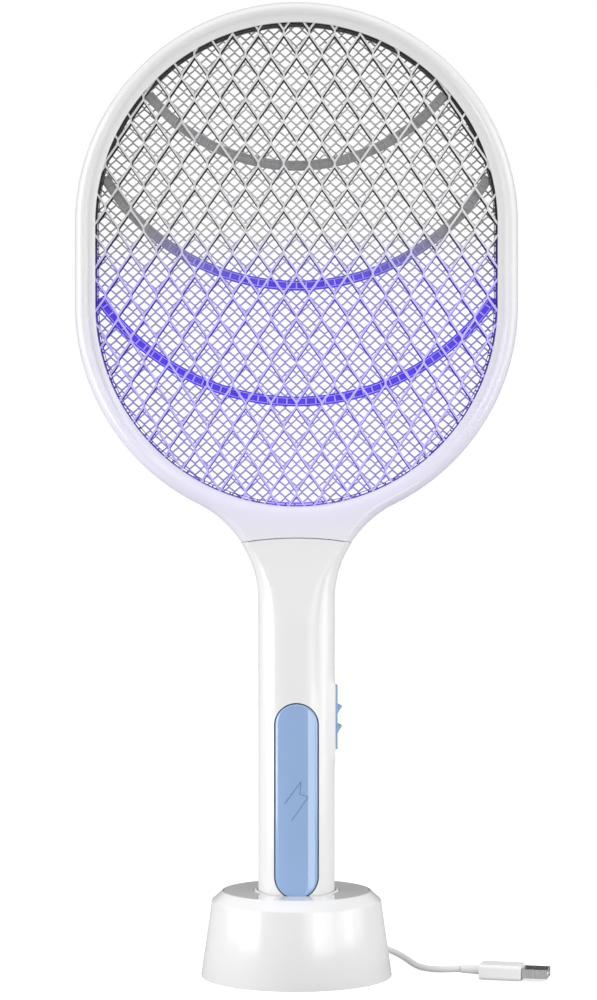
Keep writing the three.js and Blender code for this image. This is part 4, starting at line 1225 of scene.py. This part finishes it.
@dataclass
class Grids:
    """The light grille in front, the live grid with its ribs behind it and the fine mesh at the back."""

    form: CasingForm
    finishes: Finishes
    overlap: float = 3.0 * MM
    rib_half: float = 2.5 * MM
    rib_end: float = 1.5 * MM
    slot_pitch: float = 4.8 * MM
    border_cells: int = 150

    def build(self) -> None:
        """Makes the three layers and the ribs."""
        form = self.form
        # All these layers, the border and the ribs take finishes with painted violet lamp light low in the
        # opening.
        diamond = {"width": 12.67 * MM, "height": 21.8 * MM}
        front = Lattice("light_grille", bond=1.9 * MM, strip=0.98 * MM, thick=0.8 * MM, depth=-7.3 * MM,
                        reach=form.opening_r + self.overlap, **diamond).build(form)
        settle(front, "racket", self.finishes["bright_grille"], "light_grille", ["front_grille"])
        live = Lattice("live_grid", bond=1.9 * MM, strip=1.05 * MM, thick=0.8 * MM, depth=-2.2 * MM,
                       reach=form.opening_r - 1.2 * MM, drop=0.55 * MM, **diamond).build(form)
        settle(live, "racket", self.finishes["dark_grid"], "dark_grid", ["centre_grid"])
        mesh = Lattice("fine_rear_mesh", width=5.66 * MM, height=5.66 * MM, bond=0.5 * MM, strip=0.80 * MM,
                       thick=0.45 * MM, depth=7.0 * MM, reach=form.opening_r + self.overlap).build(form)
        settle(mesh, "racket", self.finishes["fine_mesh"], "fine_mesh", ["rear_grille"])
        self.border()
        self.ribs()

    def border(self) -> None:
        """Makes the live grid's perforated border."""
        form = self.form
        radius = form.opening_r - 0.95 * MM
        arc, straight = math.pi * radius, form.high_z - form.low_z
        total = 2 * (arc + straight)

        def line(u: float) -> tuple[float, float]:
            """The border's middle line."""
            s = (u % 1.0) * total
            if s < arc:
                angle, centre = s / radius, form.high_z
            elif s < arc + straight:
                angle, centre = math.pi, form.high_z - (s - arc)
            elif s < 2 * arc + straight:
                angle, centre = math.pi + (s - arc - straight) / radius, form.low_z
            else:
                angle, centre = 2 * math.pi, form.low_z + (s - 2 * arc - straight)
            return radius * math.cos(angle), centre + radius * math.sin(angle)

        band = PerforatedBand("live_grid_border", line, self.border_cells, width=1.5 * MM, web=0.36 * MM,
                              depth=-5.2 * MM, thick=0.9 * MM, closed=True).build()
        settle(band, "racket", self.finishes["dark_grid"], "dark_grid")

    def ribs(self) -> None:
        """Makes the three curved ribs."""
        for node in ("upper_rib", "middle_rib", "lower_rib"):
            low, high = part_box(node)
            half = high.x
            middle = low.z + self.rib_half
            sag = high.z - self.rib_half - middle
            radius = (half**2 + sag**2) / (2 * sag)
            spread = math.asin(min(1.0, (half - self.rib_end) / radius))

            def line(
                u: float, radius: float = radius, spread: float = spread, middle: float = middle
            ) -> tuple[float, float]:
                """The rib's middle line."""
                angle = -math.pi / 2 + spread * (2 * u - 1)
                return radius * math.cos(angle), middle + radius + radius * math.sin(angle)

            cells = round(2 * spread * radius / self.slot_pitch)
            band = PerforatedBand(node + "_band", line, cells, width=3.5 * MM, web=0.34 * MM,
                                  depth=-4.6 * MM, thick=0.5 * MM).build()
            settle(band, "racket", self.finishes["rib_edge"], "dark_plastic", [node])
            fill = PerforatedBand(node + "_fill", line, cells, width=5.0 * MM, web=0.0,
                                  depth=-3.9 * MM, thick=0.6 * MM).build()
            settle(fill, "racket", self.finishes["rib_fill"], "dark_plastic")


# ---------------------------------------------------------------- handle


@dataclass
class Handle:
    """The handle's two shells, with the window for the press plate and the side switch's slot."""

    form: CasingForm
    finishes: Finishes
    patch: CasingPatch = field(default_factory=lambda: CasingPatch(14, 6))
    wall: float = 2.0 * MM
    grip_lines: int = 90
    neck_lines: int = 40
    window_gap: float = 0.56 * MM
    boss_half_width: float = 7.2 * MM
    boss_ramp: float = 3.0 * MM
    boss_half_length: float = 21.2 * MM
    boss_side: float = 1.5 * MM
    slot_half: float = 4.35 * MM
    slot_inside: float = 18.3 * MM

    def build(self) -> None:
        """Makes both shells."""
        front = self.shell("handle_front", front=True)
        rear = self.shell("handle_rear", front=False)
        settle(front, "racket", self.finishes["casing_white"], "white_casing", ["handle_front_shell"])
        settle(rear, "racket", self.finishes["casing_white"], "white_casing", ["handle_rear_shell"])

    def shell(self, name: str, front: bool) -> bpy.types.Object:
        """Makes one shell.

        Args:
            name: The piece's name.
            front: Whether it is the front one.

        Returns:
            The finished shell.
        """
        form = self.form
        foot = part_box("handle_front_shell")[0].z
        grip = [(np.array([form.grip_half, z]), np.array([-1.0, 0.0]), np.array([0.0, z]))
                for z in np.linspace(foot, form.neck_z, self.grip_lines)]
        neck = []
        for angle in np.linspace(0, form.seam_angle, self.neck_lines)[1:]:
            inward = np.array([-math.cos(angle), math.sin(angle)])
            point = np.array([form.fillet_x, form.neck_z]) + form.neck_fillet * inward
            share = angle / form.seam_angle
            inner = np.array([0.0, point[1] + form.seam_crown * share])
            neck.append((point, inward, inner))
        lines = [self.patch.profile(form, *line) for line in grip + neck]
        for i, line in enumerate(lines[-len(neck):]):
            weight = ((i + 1) / len(neck)) ** 2
            if i < len(neck) - 1:
                line[:, 2] += (form.bow(lines[-1][:, 0]) - form.seam_gap - lines[-1][:, 2]) * weight
        lines[-1][:, 2] = form.bow(lines[-1][:, 0]) - form.seam_gap
        full = [np.vstack([line, (line * np.array([-1, 1, 1]))[::-1][1:]]) for line in lines]
        piece = grid_sheet(name, len(full) - 1, 2 * self.patch.rows)
        table = np.array(full)
        if not front:
            table = table * np.array([1, -1, 1])

        lay_on(piece, table)
        warp(piece, self.boss)
        face_out(piece, front)
        modify(piece, "SOLIDIFY", thickness=self.wall, offset=-1)
        tidy(piece, 1e-6)
        knob_low, knob_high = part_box("switch_knob")
        slot = rounded_block(
            "slot",
            (knob_low.x + 5 * MM, -self.slot_half, knob_low.z - 3.8 * MM),
            (knob_high.x + 5 * MM, self.slot_half, knob_high.z + 0.35 * MM),
            0,
        )
        inside = np.array([self.slot_inside, 0, 0])
        flat = np.array([0, 1, 1])
        between = 0.0199  # lies between the block's two ends in x
        warp(slot, lambda p: np.where(p[:, :1] < between, inside + p * flat, p))
        cut(piece, slot)
        if front:
            cut(piece, PressPlate.prism(self.window_gap))
        smooth(piece, 32)
        return piece

    def boss(self, p: np.ndarray) -> np.ndarray:
        """Raises the flat boss round the side switch.

        Args:
            p: The shell's vertices.

        Returns:
            Their new places.
        """
        knob_low, knob_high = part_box("switch_knob")
        middle = (knob_low.z - 3.5 * MM + knob_high.z) / 2 + 0.2 * MM
        level = self.form.grip_half + self.form.boss_rise
        up = np.clip((self.boss_half_length - np.abs(p[:, 2] - middle)) / self.boss_ramp, 0, 1)
        over = np.clip((self.boss_half_width + self.boss_side - np.abs(p[:, 1])) / self.boss_side, 0, 1)
        weight = ease(up) * ease(over)
        moved = p.copy()
        side = (p[:, 0] > 0.6 * self.form.grip_half) & (weight > 0)
        moved[side, 0] += (level - p[side, 0]) * weight[side]
        return moved


@dataclass
class PressPlate:
    """The long blue plate in the handle's front with its engraved mark."""

    form: CasingForm
    finishes: Finishes
    edge: float = 0.7 * MM
    proud: float = 0.25 * MM
    thick: float = 2.6 * MM
    columns: int = 40
    rows: int = 150
    crown: float = 0.8 * MM
    line_width: float = 0.36 * MM
    seal_width: float = 0.52 * MM

    @staticmethod
    def prism(extra: float) -> bpy.types.Object:
        """Makes the window's cutter.

        Args:
            extra: How much wider than the plate it is, all round.

        Returns:
            The cutter.
        """
        low, high = PressPlate.span()
        radius = PressPlate.radius()
        deselect()
        bpy.ops.mesh.primitive_cylinder_add(vertices=96, radius=1, depth=1)
        cutter = named("window")

        def place(p: np.ndarray) -> np.ndarray:
            """Stretches the cylinder into a long prism along Y."""
            r = radius + extra
            straight = (high - low) / 2 - radius
            x = p[:, 0] * r
            z = p[:, 1] * r + np.where(p[:, 1] > 0, straight, -straight) + (low + high) / 2
            y = np.where(p[:, 2] > 0, -4 * MM, -30 * MM)
            return np.column_stack([x, y, z])

        warp(cutter, place)
        tidy(cutter)
        return cutter

    @staticmethod
    def span() -> tuple[float, float]:
        """The visible plate's lowest and highest point."""
        low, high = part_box("press_plate")
        return low.z + FLANGE, high.z - FLANGE

    @staticmethod
    def radius() -> float:
        """The plate's end rounding, which is half its width."""
        low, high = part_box("press_plate")
        return (high.x - low.x) / 2 - FLANGE

    def level(self, x: np.ndarray) -> np.ndarray:
        """The height of the handle's front surface at x, from its middle plane."""
        form = self.form
        inset = form.grip_half - np.abs(x)
        q = np.clip(1 - inset / form.grip_round, 0, 1)
        return form.grip_half_depth - form.grip_round_depth * (1 - np.sqrt(1 - q**2))

    def face(self, x: np.ndarray) -> np.ndarray:
        """The height of the plate's crowned surface at x, from the handle's middle plane."""
        return self.level(x) + self.proud + self.crown * (1 - (x / self.radius()) ** 2)

    def build(self) -> None:
        """Makes the plate, the seal round it and the engraved mark."""
        low, high = self.span()
        radius = self.radius()
        piece = grid_sheet("blue_plate", self.columns, self.rows)

        def place(p: np.ndarray) -> np.ndarray:
            """Shapes the grid into a long plate with round ends that follows the handle."""
            bend = p[:, 1] * math.pi
            t = (1 - np.cos(bend)) / 2 * 0.35 + p[:, 1] * 0.65
            z = low + (high - low) * t
            end = np.clip(np.maximum(low + radius - z, z - (high - radius)), 0, radius)
            half = np.sqrt(np.maximum(radius**2 - end**2, 1e-12))
            across = np.sin((p[:, 0] - 0.5) * math.pi)
            x = half * across
            away = radius - np.hypot(x, end)
            q = np.clip(1 - away / self.edge, 0, 1)
            drop = self.edge * (1 - np.sqrt(np.maximum(1 - q**2, 0)))
            return np.column_stack([x, -(self.face(x) - drop), z])

        warp(piece, place)
        with editing(piece):
            bpy.ops.mesh.remove_doubles(threshold=5e-6)
        face_out(piece)
        modify(piece, "SOLIDIFY", thickness=self.thick, offset=-1)
        tidy(piece, 1e-6)
        smooth(piece, 50)
        settle(piece, "press_plate", self.finishes["plate_blue"], "blue_plastic", ["press_plate"])
        self.seal()
        self.mark()

    def seal(self) -> None:
        """Makes the dark seal that fills the gap between the plate and the handle's front."""
        low, high = self.span()
        radius = self.radius()
        straight = (high - low) / 2 - radius
        ring = grid_sheet("plate_seal", 160, 3)
        inner, outer = radius + 0.03 * MM, radius + 0.03 * MM + self.seal_width

        def place(p: np.ndarray) -> np.ndarray:
            """Lays the ring round the plate."""
            turn = 2 * math.pi * p[:, 0]
            r = inner + (outer - inner) * p[:, 1]
            x = r * np.cos(turn)
            z = r * np.sin(turn) + np.where(np.sin(turn) > 0, straight, -straight) + (low + high) / 2
            return np.column_stack([x, -(self.level(x) + 0.02 * MM), z])

        warp(ring, place)
        tidy(ring, 1e-6, outward=False)
        face_out(ring)
        modify(ring, "SOLIDIFY", thickness=1.2 * MM, offset=-1)
        smooth(ring, 40)
        settle(ring, "racket", self.finishes["seal_navy"], "dark_plastic")

    def mark(self) -> None:
        """Engraves a plain lightning mark as one thin line."""
        low, high = self.span()
        centre = low + 0.486 * (high - low)
        corners = [(-6.0, 0.0), (2.2, 11.2), (1.7, 5.0), (5.8, 3.6), (-2.4, -8.2)]
        steps = 14
        track = []
        for (x0, z0), (x1, z1) in zip(corners, corners[1:]):
            track += [(x0 + (x1 - x0) * i / steps, z0 + (z1 - z0) * i / steps) for i in range(steps)]
        track.append(corners[-1])
        ribbon = grid_sheet("plate_mark", len(track) - 1, 1)
        loop = np.array(track) * MM
        ahead = np.gradient(loop, axis=0)
        ahead /= np.linalg.norm(ahead, axis=1)[:, None]
        side = np.column_stack([-ahead[:, 1], ahead[:, 0]])

        def place(p: np.ndarray) -> np.ndarray:
            """Lays the ribbon on the plate."""
            i = np.rint(p[:, 0] * (len(track) - 1)).astype(int)
            x, z = (loop[i] + side[i] * (p[:, 1:2] - 0.5) * self.line_width).T
            return np.column_stack([x, -(self.face(x) + 0.03 * MM), z + centre])

        warp(ribbon, place)
        tidy(ribbon, 1e-6, outward=False)
        face_out(ribbon)
        modify(ribbon, "SOLIDIFY", thickness=0.15 * MM, offset=-1)
        settle(ribbon, "press_plate", self.finishes["mark_blue"], "blue_plastic")


@dataclass
class SideSwitch:
    """The toothed knob on the handle's right side."""

    form: CasingForm
    finishes: Finishes
    tooth: tuple[float, float, float] = (2.2 * MM, 5.2 * MM, 1.3 * MM)
    first_tooth: float = 9.4 * MM
    pitch: float = 9.8 * MM
    proud: float = 1.1 * MM

    def build(self) -> None:
        """Makes the knob with its two teeth."""
        low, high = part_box("switch_knob")
        face = self.form.grip_half + self.form.boss_rise + self.proud
        half = 4.0 * MM
        plate = rounded_block("knob", (face - 2.1 * MM, -half, low.z), (face, half, high.z), 0.35 * MM)
        parts = [plate]
        for drop in (self.first_tooth, self.first_tooth + self.pitch):
            parts.append(self.ridge(face, half - 0.5 * MM, high.z - drop))
        stem = rounded_block("stem", (12.4 * MM, -1.4 * MM, (low.z + high.z) / 2 - 2.4 * MM),
                             (face - 1 * MM, 1.4 * MM, (low.z + high.z) / 2 + 2.4 * MM), 0.2 * MM)
        piece = join([*parts, stem], "side_knob")
        smooth(piece, 40)
        settle(piece, "switch_knob", self.finishes["knob_blue"], "blue_plastic", ["switch_knob"])

    def ridge(self, face: float, half: float, top: float) -> bpy.types.Object:
        """Makes one tooth.

        Args:
            face: The x of the knob's face.
            half: Half of the tooth's width.
            top: The tooth's upper edge.

        Returns:
            The tooth.
        """
        out, length, slant = self.tooth
        curve = [(0.0, 0.0), (out, -slant + 0.2 * MM), (out, -slant)]
        for i in range(1, 8):
            t = i / 7
            curve.append((out * (1 - t) ** 1.4, -slant - (length - slant) * t))
        curve += [(-0.6 * MM, -length), (-0.6 * MM, 0.0)]
        deselect()
        bpy.ops.mesh.primitive_circle_add(vertices=len(curve), radius=1, fill_type="NGON")
        piece = named("tooth")
        warp(piece, lambda p: np.array([[face + x, -half, top + z] for x, z in curve]))
        with editing(piece):
            bpy.ops.mesh.extrude_region_move(TRANSFORM_OT_translate={"value": (0, 2 * half, 0)})
        tidy(piece)
        modify(piece, "BEVEL", width=0.18 * MM, segments=2, limit_method="ANGLE",
               angle_limit=math.radians(40))
        return piece


# ---------------------------------------------------------------- base


@dataclass
class ChargingBase:
    """The round base: shell, grey top and the collar of the socket."""

    form: CasingForm
    finishes: Finishes
    wall: float = 2.2 * MM
    foot_spread: float = 0.7 * MM
    foot_drop: float = 0.9 * MM
    shoulder_r: float = 42.5 * MM
    shoulder_round: float = 1.5 * MM
    hole_grow: float = 2.45 * MM
    bore_grow: float = 0.45 * MM
    shoulder_drop: float = 4.6 * MM
    apron_dip: float = 0.95 * MM
    collar_drop: float = 1.3 * MM

    def build(self) -> None:
        """Makes the base's visible pieces."""
        self.shell()
        self.top()
        self.collar()

    def shell(self) -> None:
        """Turns the shell."""
        low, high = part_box("base_shell")
        foot_r, foot, top = high.x + self.foot_spread, low.z - self.foot_drop, high.z
        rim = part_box("base_top_plate")[1].x + 0.3 * MM
        shoulder_r, bend = self.shoulder_r, self.shoulder_round
        shoulder = top - self.shoulder_drop
        profile = [(foot_r - 0.5 * MM, foot), (foot_r - 0.12 * MM, foot + 0.15 * MM),
                   (foot_r, foot + 0.55 * MM)]
        profile.append((foot_r * 0.25 + shoulder_r * 0.75, foot * 0.25 + (shoulder - 1.2 * MM) * 0.75))
        for i in range(6):
            angle = math.radians(7 + i * 8.5)
            out, up = bend * math.cos(angle), bend * math.sin(angle)
            profile.append((shoulder_r - bend + out, shoulder - 0.9 * MM + up))
        profile += [(rim + 0.7 * MM, top - 0.25 * MM), (rim + 0.4 * MM, top - 0.05 * MM),
                    (rim, top - 0.05 * MM), (rim, top - 1.4 * MM), (rim + 0.2 * MM, top - self.wall)]
        inner = [(shoulder_r - self.wall, shoulder - 1.6 * MM), (foot_r - self.wall, foot)]
        piece = turned("base_casing", profile + inner, TURN_STEPS)
        inlet_low, inlet_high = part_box("usb_inlet")
        port = rounded_block(
            "port",
            (inlet_low.x + 0.1 * MM, inlet_high.y - 2 * MM, inlet_low.z + 0.05 * MM),
            (inlet_high.x - 0.1 * MM, inlet_high.y + 12 * MM, inlet_high.z - 0.05 * MM),
            1.2 * MM,
        )
        cut(piece, port)
        smooth(piece, 30)
        settle(piece, "charging_base", self.finishes["base_white"], "white_casing", ["base_shell"])

    def section(self, extra: float, count: int = SECTION_STEPS) -> list[tuple[float, float]]:
        """The handle's section, grown by extra, as points round it.

        Args:
            extra: How much larger than the handle it is.
            count: Points in all.

        Returns:
            Points of x and y.
        """
        form = self.form
        rx, ry = form.grip_round + extra, form.grip_round_depth + extra
        flat_x, flat_y = form.grip_half - form.grip_round, form.grip_half_depth - form.grip_round_depth
        points = []
        for i in range(count):
            angle = 2 * math.pi * (i + 0.5) / count
            c, s = math.cos(angle), math.sin(angle)
            points.append((math.copysign(flat_x, c) + rx * c, math.copysign(flat_y, s) + ry * s))
        return points

    def top(self) -> None:
        """Makes the grey plate with its hole for the collar."""
        low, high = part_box("base_top_plate")
        piece = turned(
            "base_top",
            [(1 * MM, low.z), (high.x, low.z), (high.x, high.z - 0.25 * MM), (high.x - 0.25 * MM, high.z),
             (1 * MM, high.z)],
            TURN_STEPS,
        )
        cut(piece, self.tube("hole", [(self.hole_grow, low.z - 5 * MM), (self.hole_grow, high.z + 5 * MM)]))
        cut(piece, self.front_strip(self.form.grip_half + 0.15 * MM))
        smooth(piece, 30)
        settle(piece, "charging_base", self.finishes["base_grey"], "base_top", ["base_top_plate"])

    def tube(self, name: str, levels: Sequence[tuple[float, float]]) -> bpy.types.Object:
        """Makes a solid with the handle's section.

        Args:
            name: The piece's name.
            levels: (how much larger than the handle, height) from bottom to top.

        Returns:
            The closed solid.
        """
        count = SECTION_STEPS
        deselect()
        bpy.ops.mesh.primitive_circle_add(vertices=count, radius=1, fill_type="NGON")
        piece = named(name)
        first = self.section(levels[0][0], count)
        warp(piece, lambda p: np.array([[x, y, levels[0][1]] for x, y in first]))
        with editing(piece):
            for _ in levels[1:]:
                bpy.ops.mesh.extrude_region_move(TRANSFORM_OT_translate={"value": (0, 0, 1)})
        places = points_of(piece)
        order = np.rint(places[:, 2] - levels[0][1]).astype(int)
        for level, (extra, height) in enumerate(levels):
            ring = np.array(self.section(extra, count))
            rows = np.where(order == level)[0]
            base = np.array(first)
            for row in rows:
                nearest = np.argmin(np.hypot(*(base - places[row, :2]).T))
                places[row] = (*ring[nearest], height)
        piece.data.vertices.foreach_set("co", places.ravel())
        piece.data.update()
        tidy(piece)
        return piece

    def front_strip(self, half: float) -> bpy.types.Object:
        """Makes a block in front of the handle, for cutting.

        Args:
            half: Half of its width.

        Returns:
            The block.
        """
        return rounded_block("strip", (-half, -60 * MM, 30 * MM), (half, -6 * MM, 60 * MM), 0)

    def apron(self) -> bpy.types.Object:
        """Makes the flat white stretch from the collar's front to the base's rim.

        Returns:
            The apron.
        """
        low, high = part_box("base_top_plate")
        rim = high.x + 0.2 * MM
        level = high.z + 0.05 * MM
        profile = [(1 * MM, low.z), (rim, low.z), (rim, level - 0.1 * MM), (rim - 0.1 * MM, level),
                   (15.5 * MM, level - self.apron_dip), (1 * MM, level - self.apron_dip)]
        piece = turned("apron", profile, TURN_STEPS)
        modify(piece, "BOOLEAN", operation="INTERSECT", solver="EXACT", object=self.strip_object())
        bpy.data.objects.remove(bpy.data.objects["strip"])
        grow = self.bore_grow
        cut(piece, self.tube("hole", [(grow, low.z - 5 * MM), (grow, level + 5 * MM)]))
        return piece

    def strip_object(self) -> bpy.types.Object:
        """Makes the block that bounds the apron."""
        return self.front_strip(self.form.grip_half)

    def lower_front(self, p: np.ndarray) -> np.ndarray:
        """Brings the collar's front down to the apron.

        Args:
            p: The collar's vertices.

        Returns:
            Their new places.
        """
        t = np.clip((p[:, 1] + 15 * MM) / (9 * MM), 0, 1)
        share = ease(t)
        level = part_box("base_top_plate")[1].z + 0.06 * MM - self.apron_dip * (1 - share)
        moved = p.copy()
        above = p[:, 2] > level
        moved[above, 2] = (level + (p[:, 2] - level) * (0.02 + 0.98 * share))[above]
        return moved

    def collar(self) -> None:
        """Makes the white collar that holds the handle."""
        low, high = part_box("socket_cup")
        top = high.z - self.collar_drop
        outer = [(2.2 * MM, low.z), (2.2 * MM, top - 0.8 * MM), (2.05 * MM, top - 0.3 * MM), (1.7 * MM, top)]
        piece = self.tube("socket_collar", outer)
        grow, mouth = self.bore_grow, 0.9 * MM
        bore = self.tube("bore", [(grow, low.z + 2 * MM), (grow, top - 0.5 * MM), (mouth, top + 0.02 * MM),
                                  (mouth, top + 2 * MM)])
        cut(piece, bore)
        warp(piece, self.lower_front)
        piece = join([piece, self.apron()], "socket_collar")
        smooth(piece, 40)
        settle(piece, "charging_base", self.finishes["base_white"], "white_casing", ["socket_cup"])


# ---------------------------------------------------------------- cable


@dataclass
class Cable:
    """The USB charging cable with its two plugs, from the base's back round to its right-hand side."""

    finishes: Finishes
    diameter: float = 3.1 * MM
    coil_r: float = 18.6 * MM
    coil_centre: tuple[float, float] = (18.6 * MM, 122 * MM)
    low: float = 1.7 * MM
    turns: float = 3.5
    steps_a_turn: int = 16
    base_run: tuple[Point, ...] = (
        (0, 73.3, 10.7), (0, 78, 10.6), (0, 85, 8.6), (0, 92, 4.8), (0, 99, 2.3), (0, 107.3, 1.7),
    )
    plug_run: tuple[Point, ...] = (
        (37.2, 107.3, 1.7), (37.6, 100, 1.7), (39.8, 90, 1.7), (43.6, 78, 1.7), (48.6, 64, 1.7),
        (53.2, 50, 1.7), (56.6, 36, 1.7), (59.4, 22, 1.8), (63.4, 9, 2.1),
        (70.6, -1.4, 2.9), (81.7, -5.9, 3.9),
    )

    def build(self) -> None:
        """Makes the cable and dresses what is on it."""
        route = self.route()
        path = self.smoothed(route)
        data = bpy.data.curves.new("cable", "CURVE")
        data.dimensions = "3D"
        data.bevel_depth = self.diameter / 2
        data.bevel_resolution = 5
        data.use_fill_caps = True
        spline = data.splines.new("POLY")
        spline.points.add(len(path) - 1)
        for point, place in zip(spline.points, path):
            point.co = (*place, 1)
        spline.use_smooth = True
        cable = bpy.data.objects.new("cable", data)
        bpy.context.scene.collection.objects.link(cable)
        settle(cable, "charging_base", self.finishes["jacket_white"], "cable_jacket",
               ["cable_base_run", "cable_coil", "cable_plug_run"])
        riders = self.plugs()

    def route(self) -> list[Point]:
        """The whole centre line, through the coil.

        Returns:
            Its points.
        """
        points = [tuple(v * MM for v in p) for p in self.base_run]
        half = self.diameter / 2
        levels = [self.low, self.low + self.diameter, self.low + 2 * self.diameter]
        end = self.turns * 2 * math.pi
        count = int(self.turns * self.steps_a_turn)
        for i in range(count + 1):
            turn = end * i / count
            degrees = math.degrees(turn)
            height, radius = self.winding(degrees, levels, half)
            angle = math.pi - turn
            points.append((self.coil_centre[0] + radius * math.cos(angle),
                           self.coil_centre[1] + radius * math.sin(angle), height))
        points += [tuple(v * MM for v in p) for p in self.plug_run]
        return points

    def winding(self, degrees: float, levels: Sequence[float], half: float) -> tuple[float, float]:
        """Where the wound cable is after so many degrees: up the inner column, then down the outer one.

        Args:
            degrees: The angle wound so far.
            levels: The heights of the three layers.
            half: Half of the distance between the two columns.

        Returns:
            Its height and its radius.
        """
        inner, outer = self.coil_r - half, self.coil_r + half
        angles = [0, 180, 360, 540, 660, 705, 900, 1065, 1260]
        layers = [0, 1, 1, 2, 2, 2, 1, 1, 0]
        heights = [levels[layer] for layer in layers]
        radii = [inner, inner, inner, inner, outer, outer, outer, outer, outer]
        return float(np.interp(degrees, angles, heights)), float(np.interp(degrees, angles, radii))

    @staticmethod
    def smoothed(points: Sequence[Point], steps: int = 4) -> list[Point]:
        """Runs a smooth curve through the points.

        Args:
            points: The points.
            steps: Stretches between two of them.

        Returns:
            The curve's points.
        """
        known = [np.array(p) for p in points]
        known = [2 * known[0] - known[1], *known, 2 * known[-1] - known[-2]]
        made = []
        for a, b, c, d in zip(known, known[1:], known[2:], known[3:]):
            for i in range(steps):
                t = i / steps
                made.append(tuple(0.5 * (2 * b + (c - a) * t + (2 * a - 5 * b + 4 * c - d) * t**2
                                         + (3 * b - a - 3 * c + d) * t**3)))
        made.append(tuple(known[-2]))
        return made

    def plugs(self) -> list[object]:
        """Dresses both plugs.

        Returns:
            The pieces on the cable.
        """
        riders: list[object] = []
        for node, finish, slot in (
            ("usb_c_plug_shell", "steel", "steel"),
            ("usb_c_overmould", "jacket_white", "cable_jacket"),
            ("usb_c_strain_relief", "jacket_white", "cable_jacket"),
            ("usb_a_strain_relief", "jacket_white", "cable_jacket"),
            ("usb_a_overmould", "jacket_white", "cable_jacket"),
            ("usb_a_shell", "steel", "steel"),
            ("usb_a_tongue", "jacket_white", "cable_jacket"),
        ):
            dress(node, self.finishes[finish], slot)
            riders.append(frame["nodes"][node])
        return riders


def dress(node: str, material: bpy.types.Material, slot: str) -> None:
    """Gives a node of the frame its finish.

    Args:
        node: The node's name.
        material: Its finish.
        slot: The record's material slot.
    """
    piece = frame["nodes"][node]
    piece.data.materials.clear()
    piece.data.materials.append(material)
    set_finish(piece, slot)
    log.info("%s dressed", node)


@dataclass
class Fittings:
    """The frame's own nodes that keep their shape: screws, contacts, lamp and what is inside."""

    finishes: Finishes
    finish_of_slot: dict[str, str] = field(default_factory=lambda: {
        "white_casing": "casing_white", "base_top": "base_grey", "blue_plastic": "plate_blue",
        "dark_plastic": "dark_plastic", "light_grille": "bright_grille", "dark_grid": "dark_grid",
        "fine_mesh": "fine_mesh", "violet_window": "lamp_violet", "steel": "steel", "brass": "brass",
        "circuit_board": "board_green", "cell_wrap": "cell_blue", "rubber": "rubber",
        "cable_jacket": "jacket_white",
    })

    # The carrier ring's finish has the painted violet lamp light low down.
    finish_of_node: dict[str, str] = field(default_factory=lambda: {"grid_carrier_ring": "grid_ring"})

    def build(self) -> None:
        """Dresses every node that still shows."""
        for row in frame["record"]["subparts"]:
            piece = frame["nodes"][row["node"]]
            if piece.hide_render or "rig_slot" in piece:
                continue
            finish = self.finish_of_node.get(row["node"], self.finish_of_slot[row["material_slot"]])
            dress(row["node"], self.finishes[finish], row["material_slot"])


def main() -> None:
    """Builds the studio, the cable and then the swatter's sub-assemblies in order."""
    logging.basicConfig(level=logging.INFO, format="%(name)s: %(message)s")
    Studio().build()
    finishes = Finishes()
    Cable(finishes).build()
    form = CasingForm()
    Head(form, finishes).build()
    Grids(form, finishes).build()
    Handle(form, finishes).build()
    PressPlate(form, finishes).build()
    SideSwitch(form, finishes).build()
    ChargingBase(form, finishes).build()
    Fittings(finishes).build()


if __name__ == "__main__":
    main()
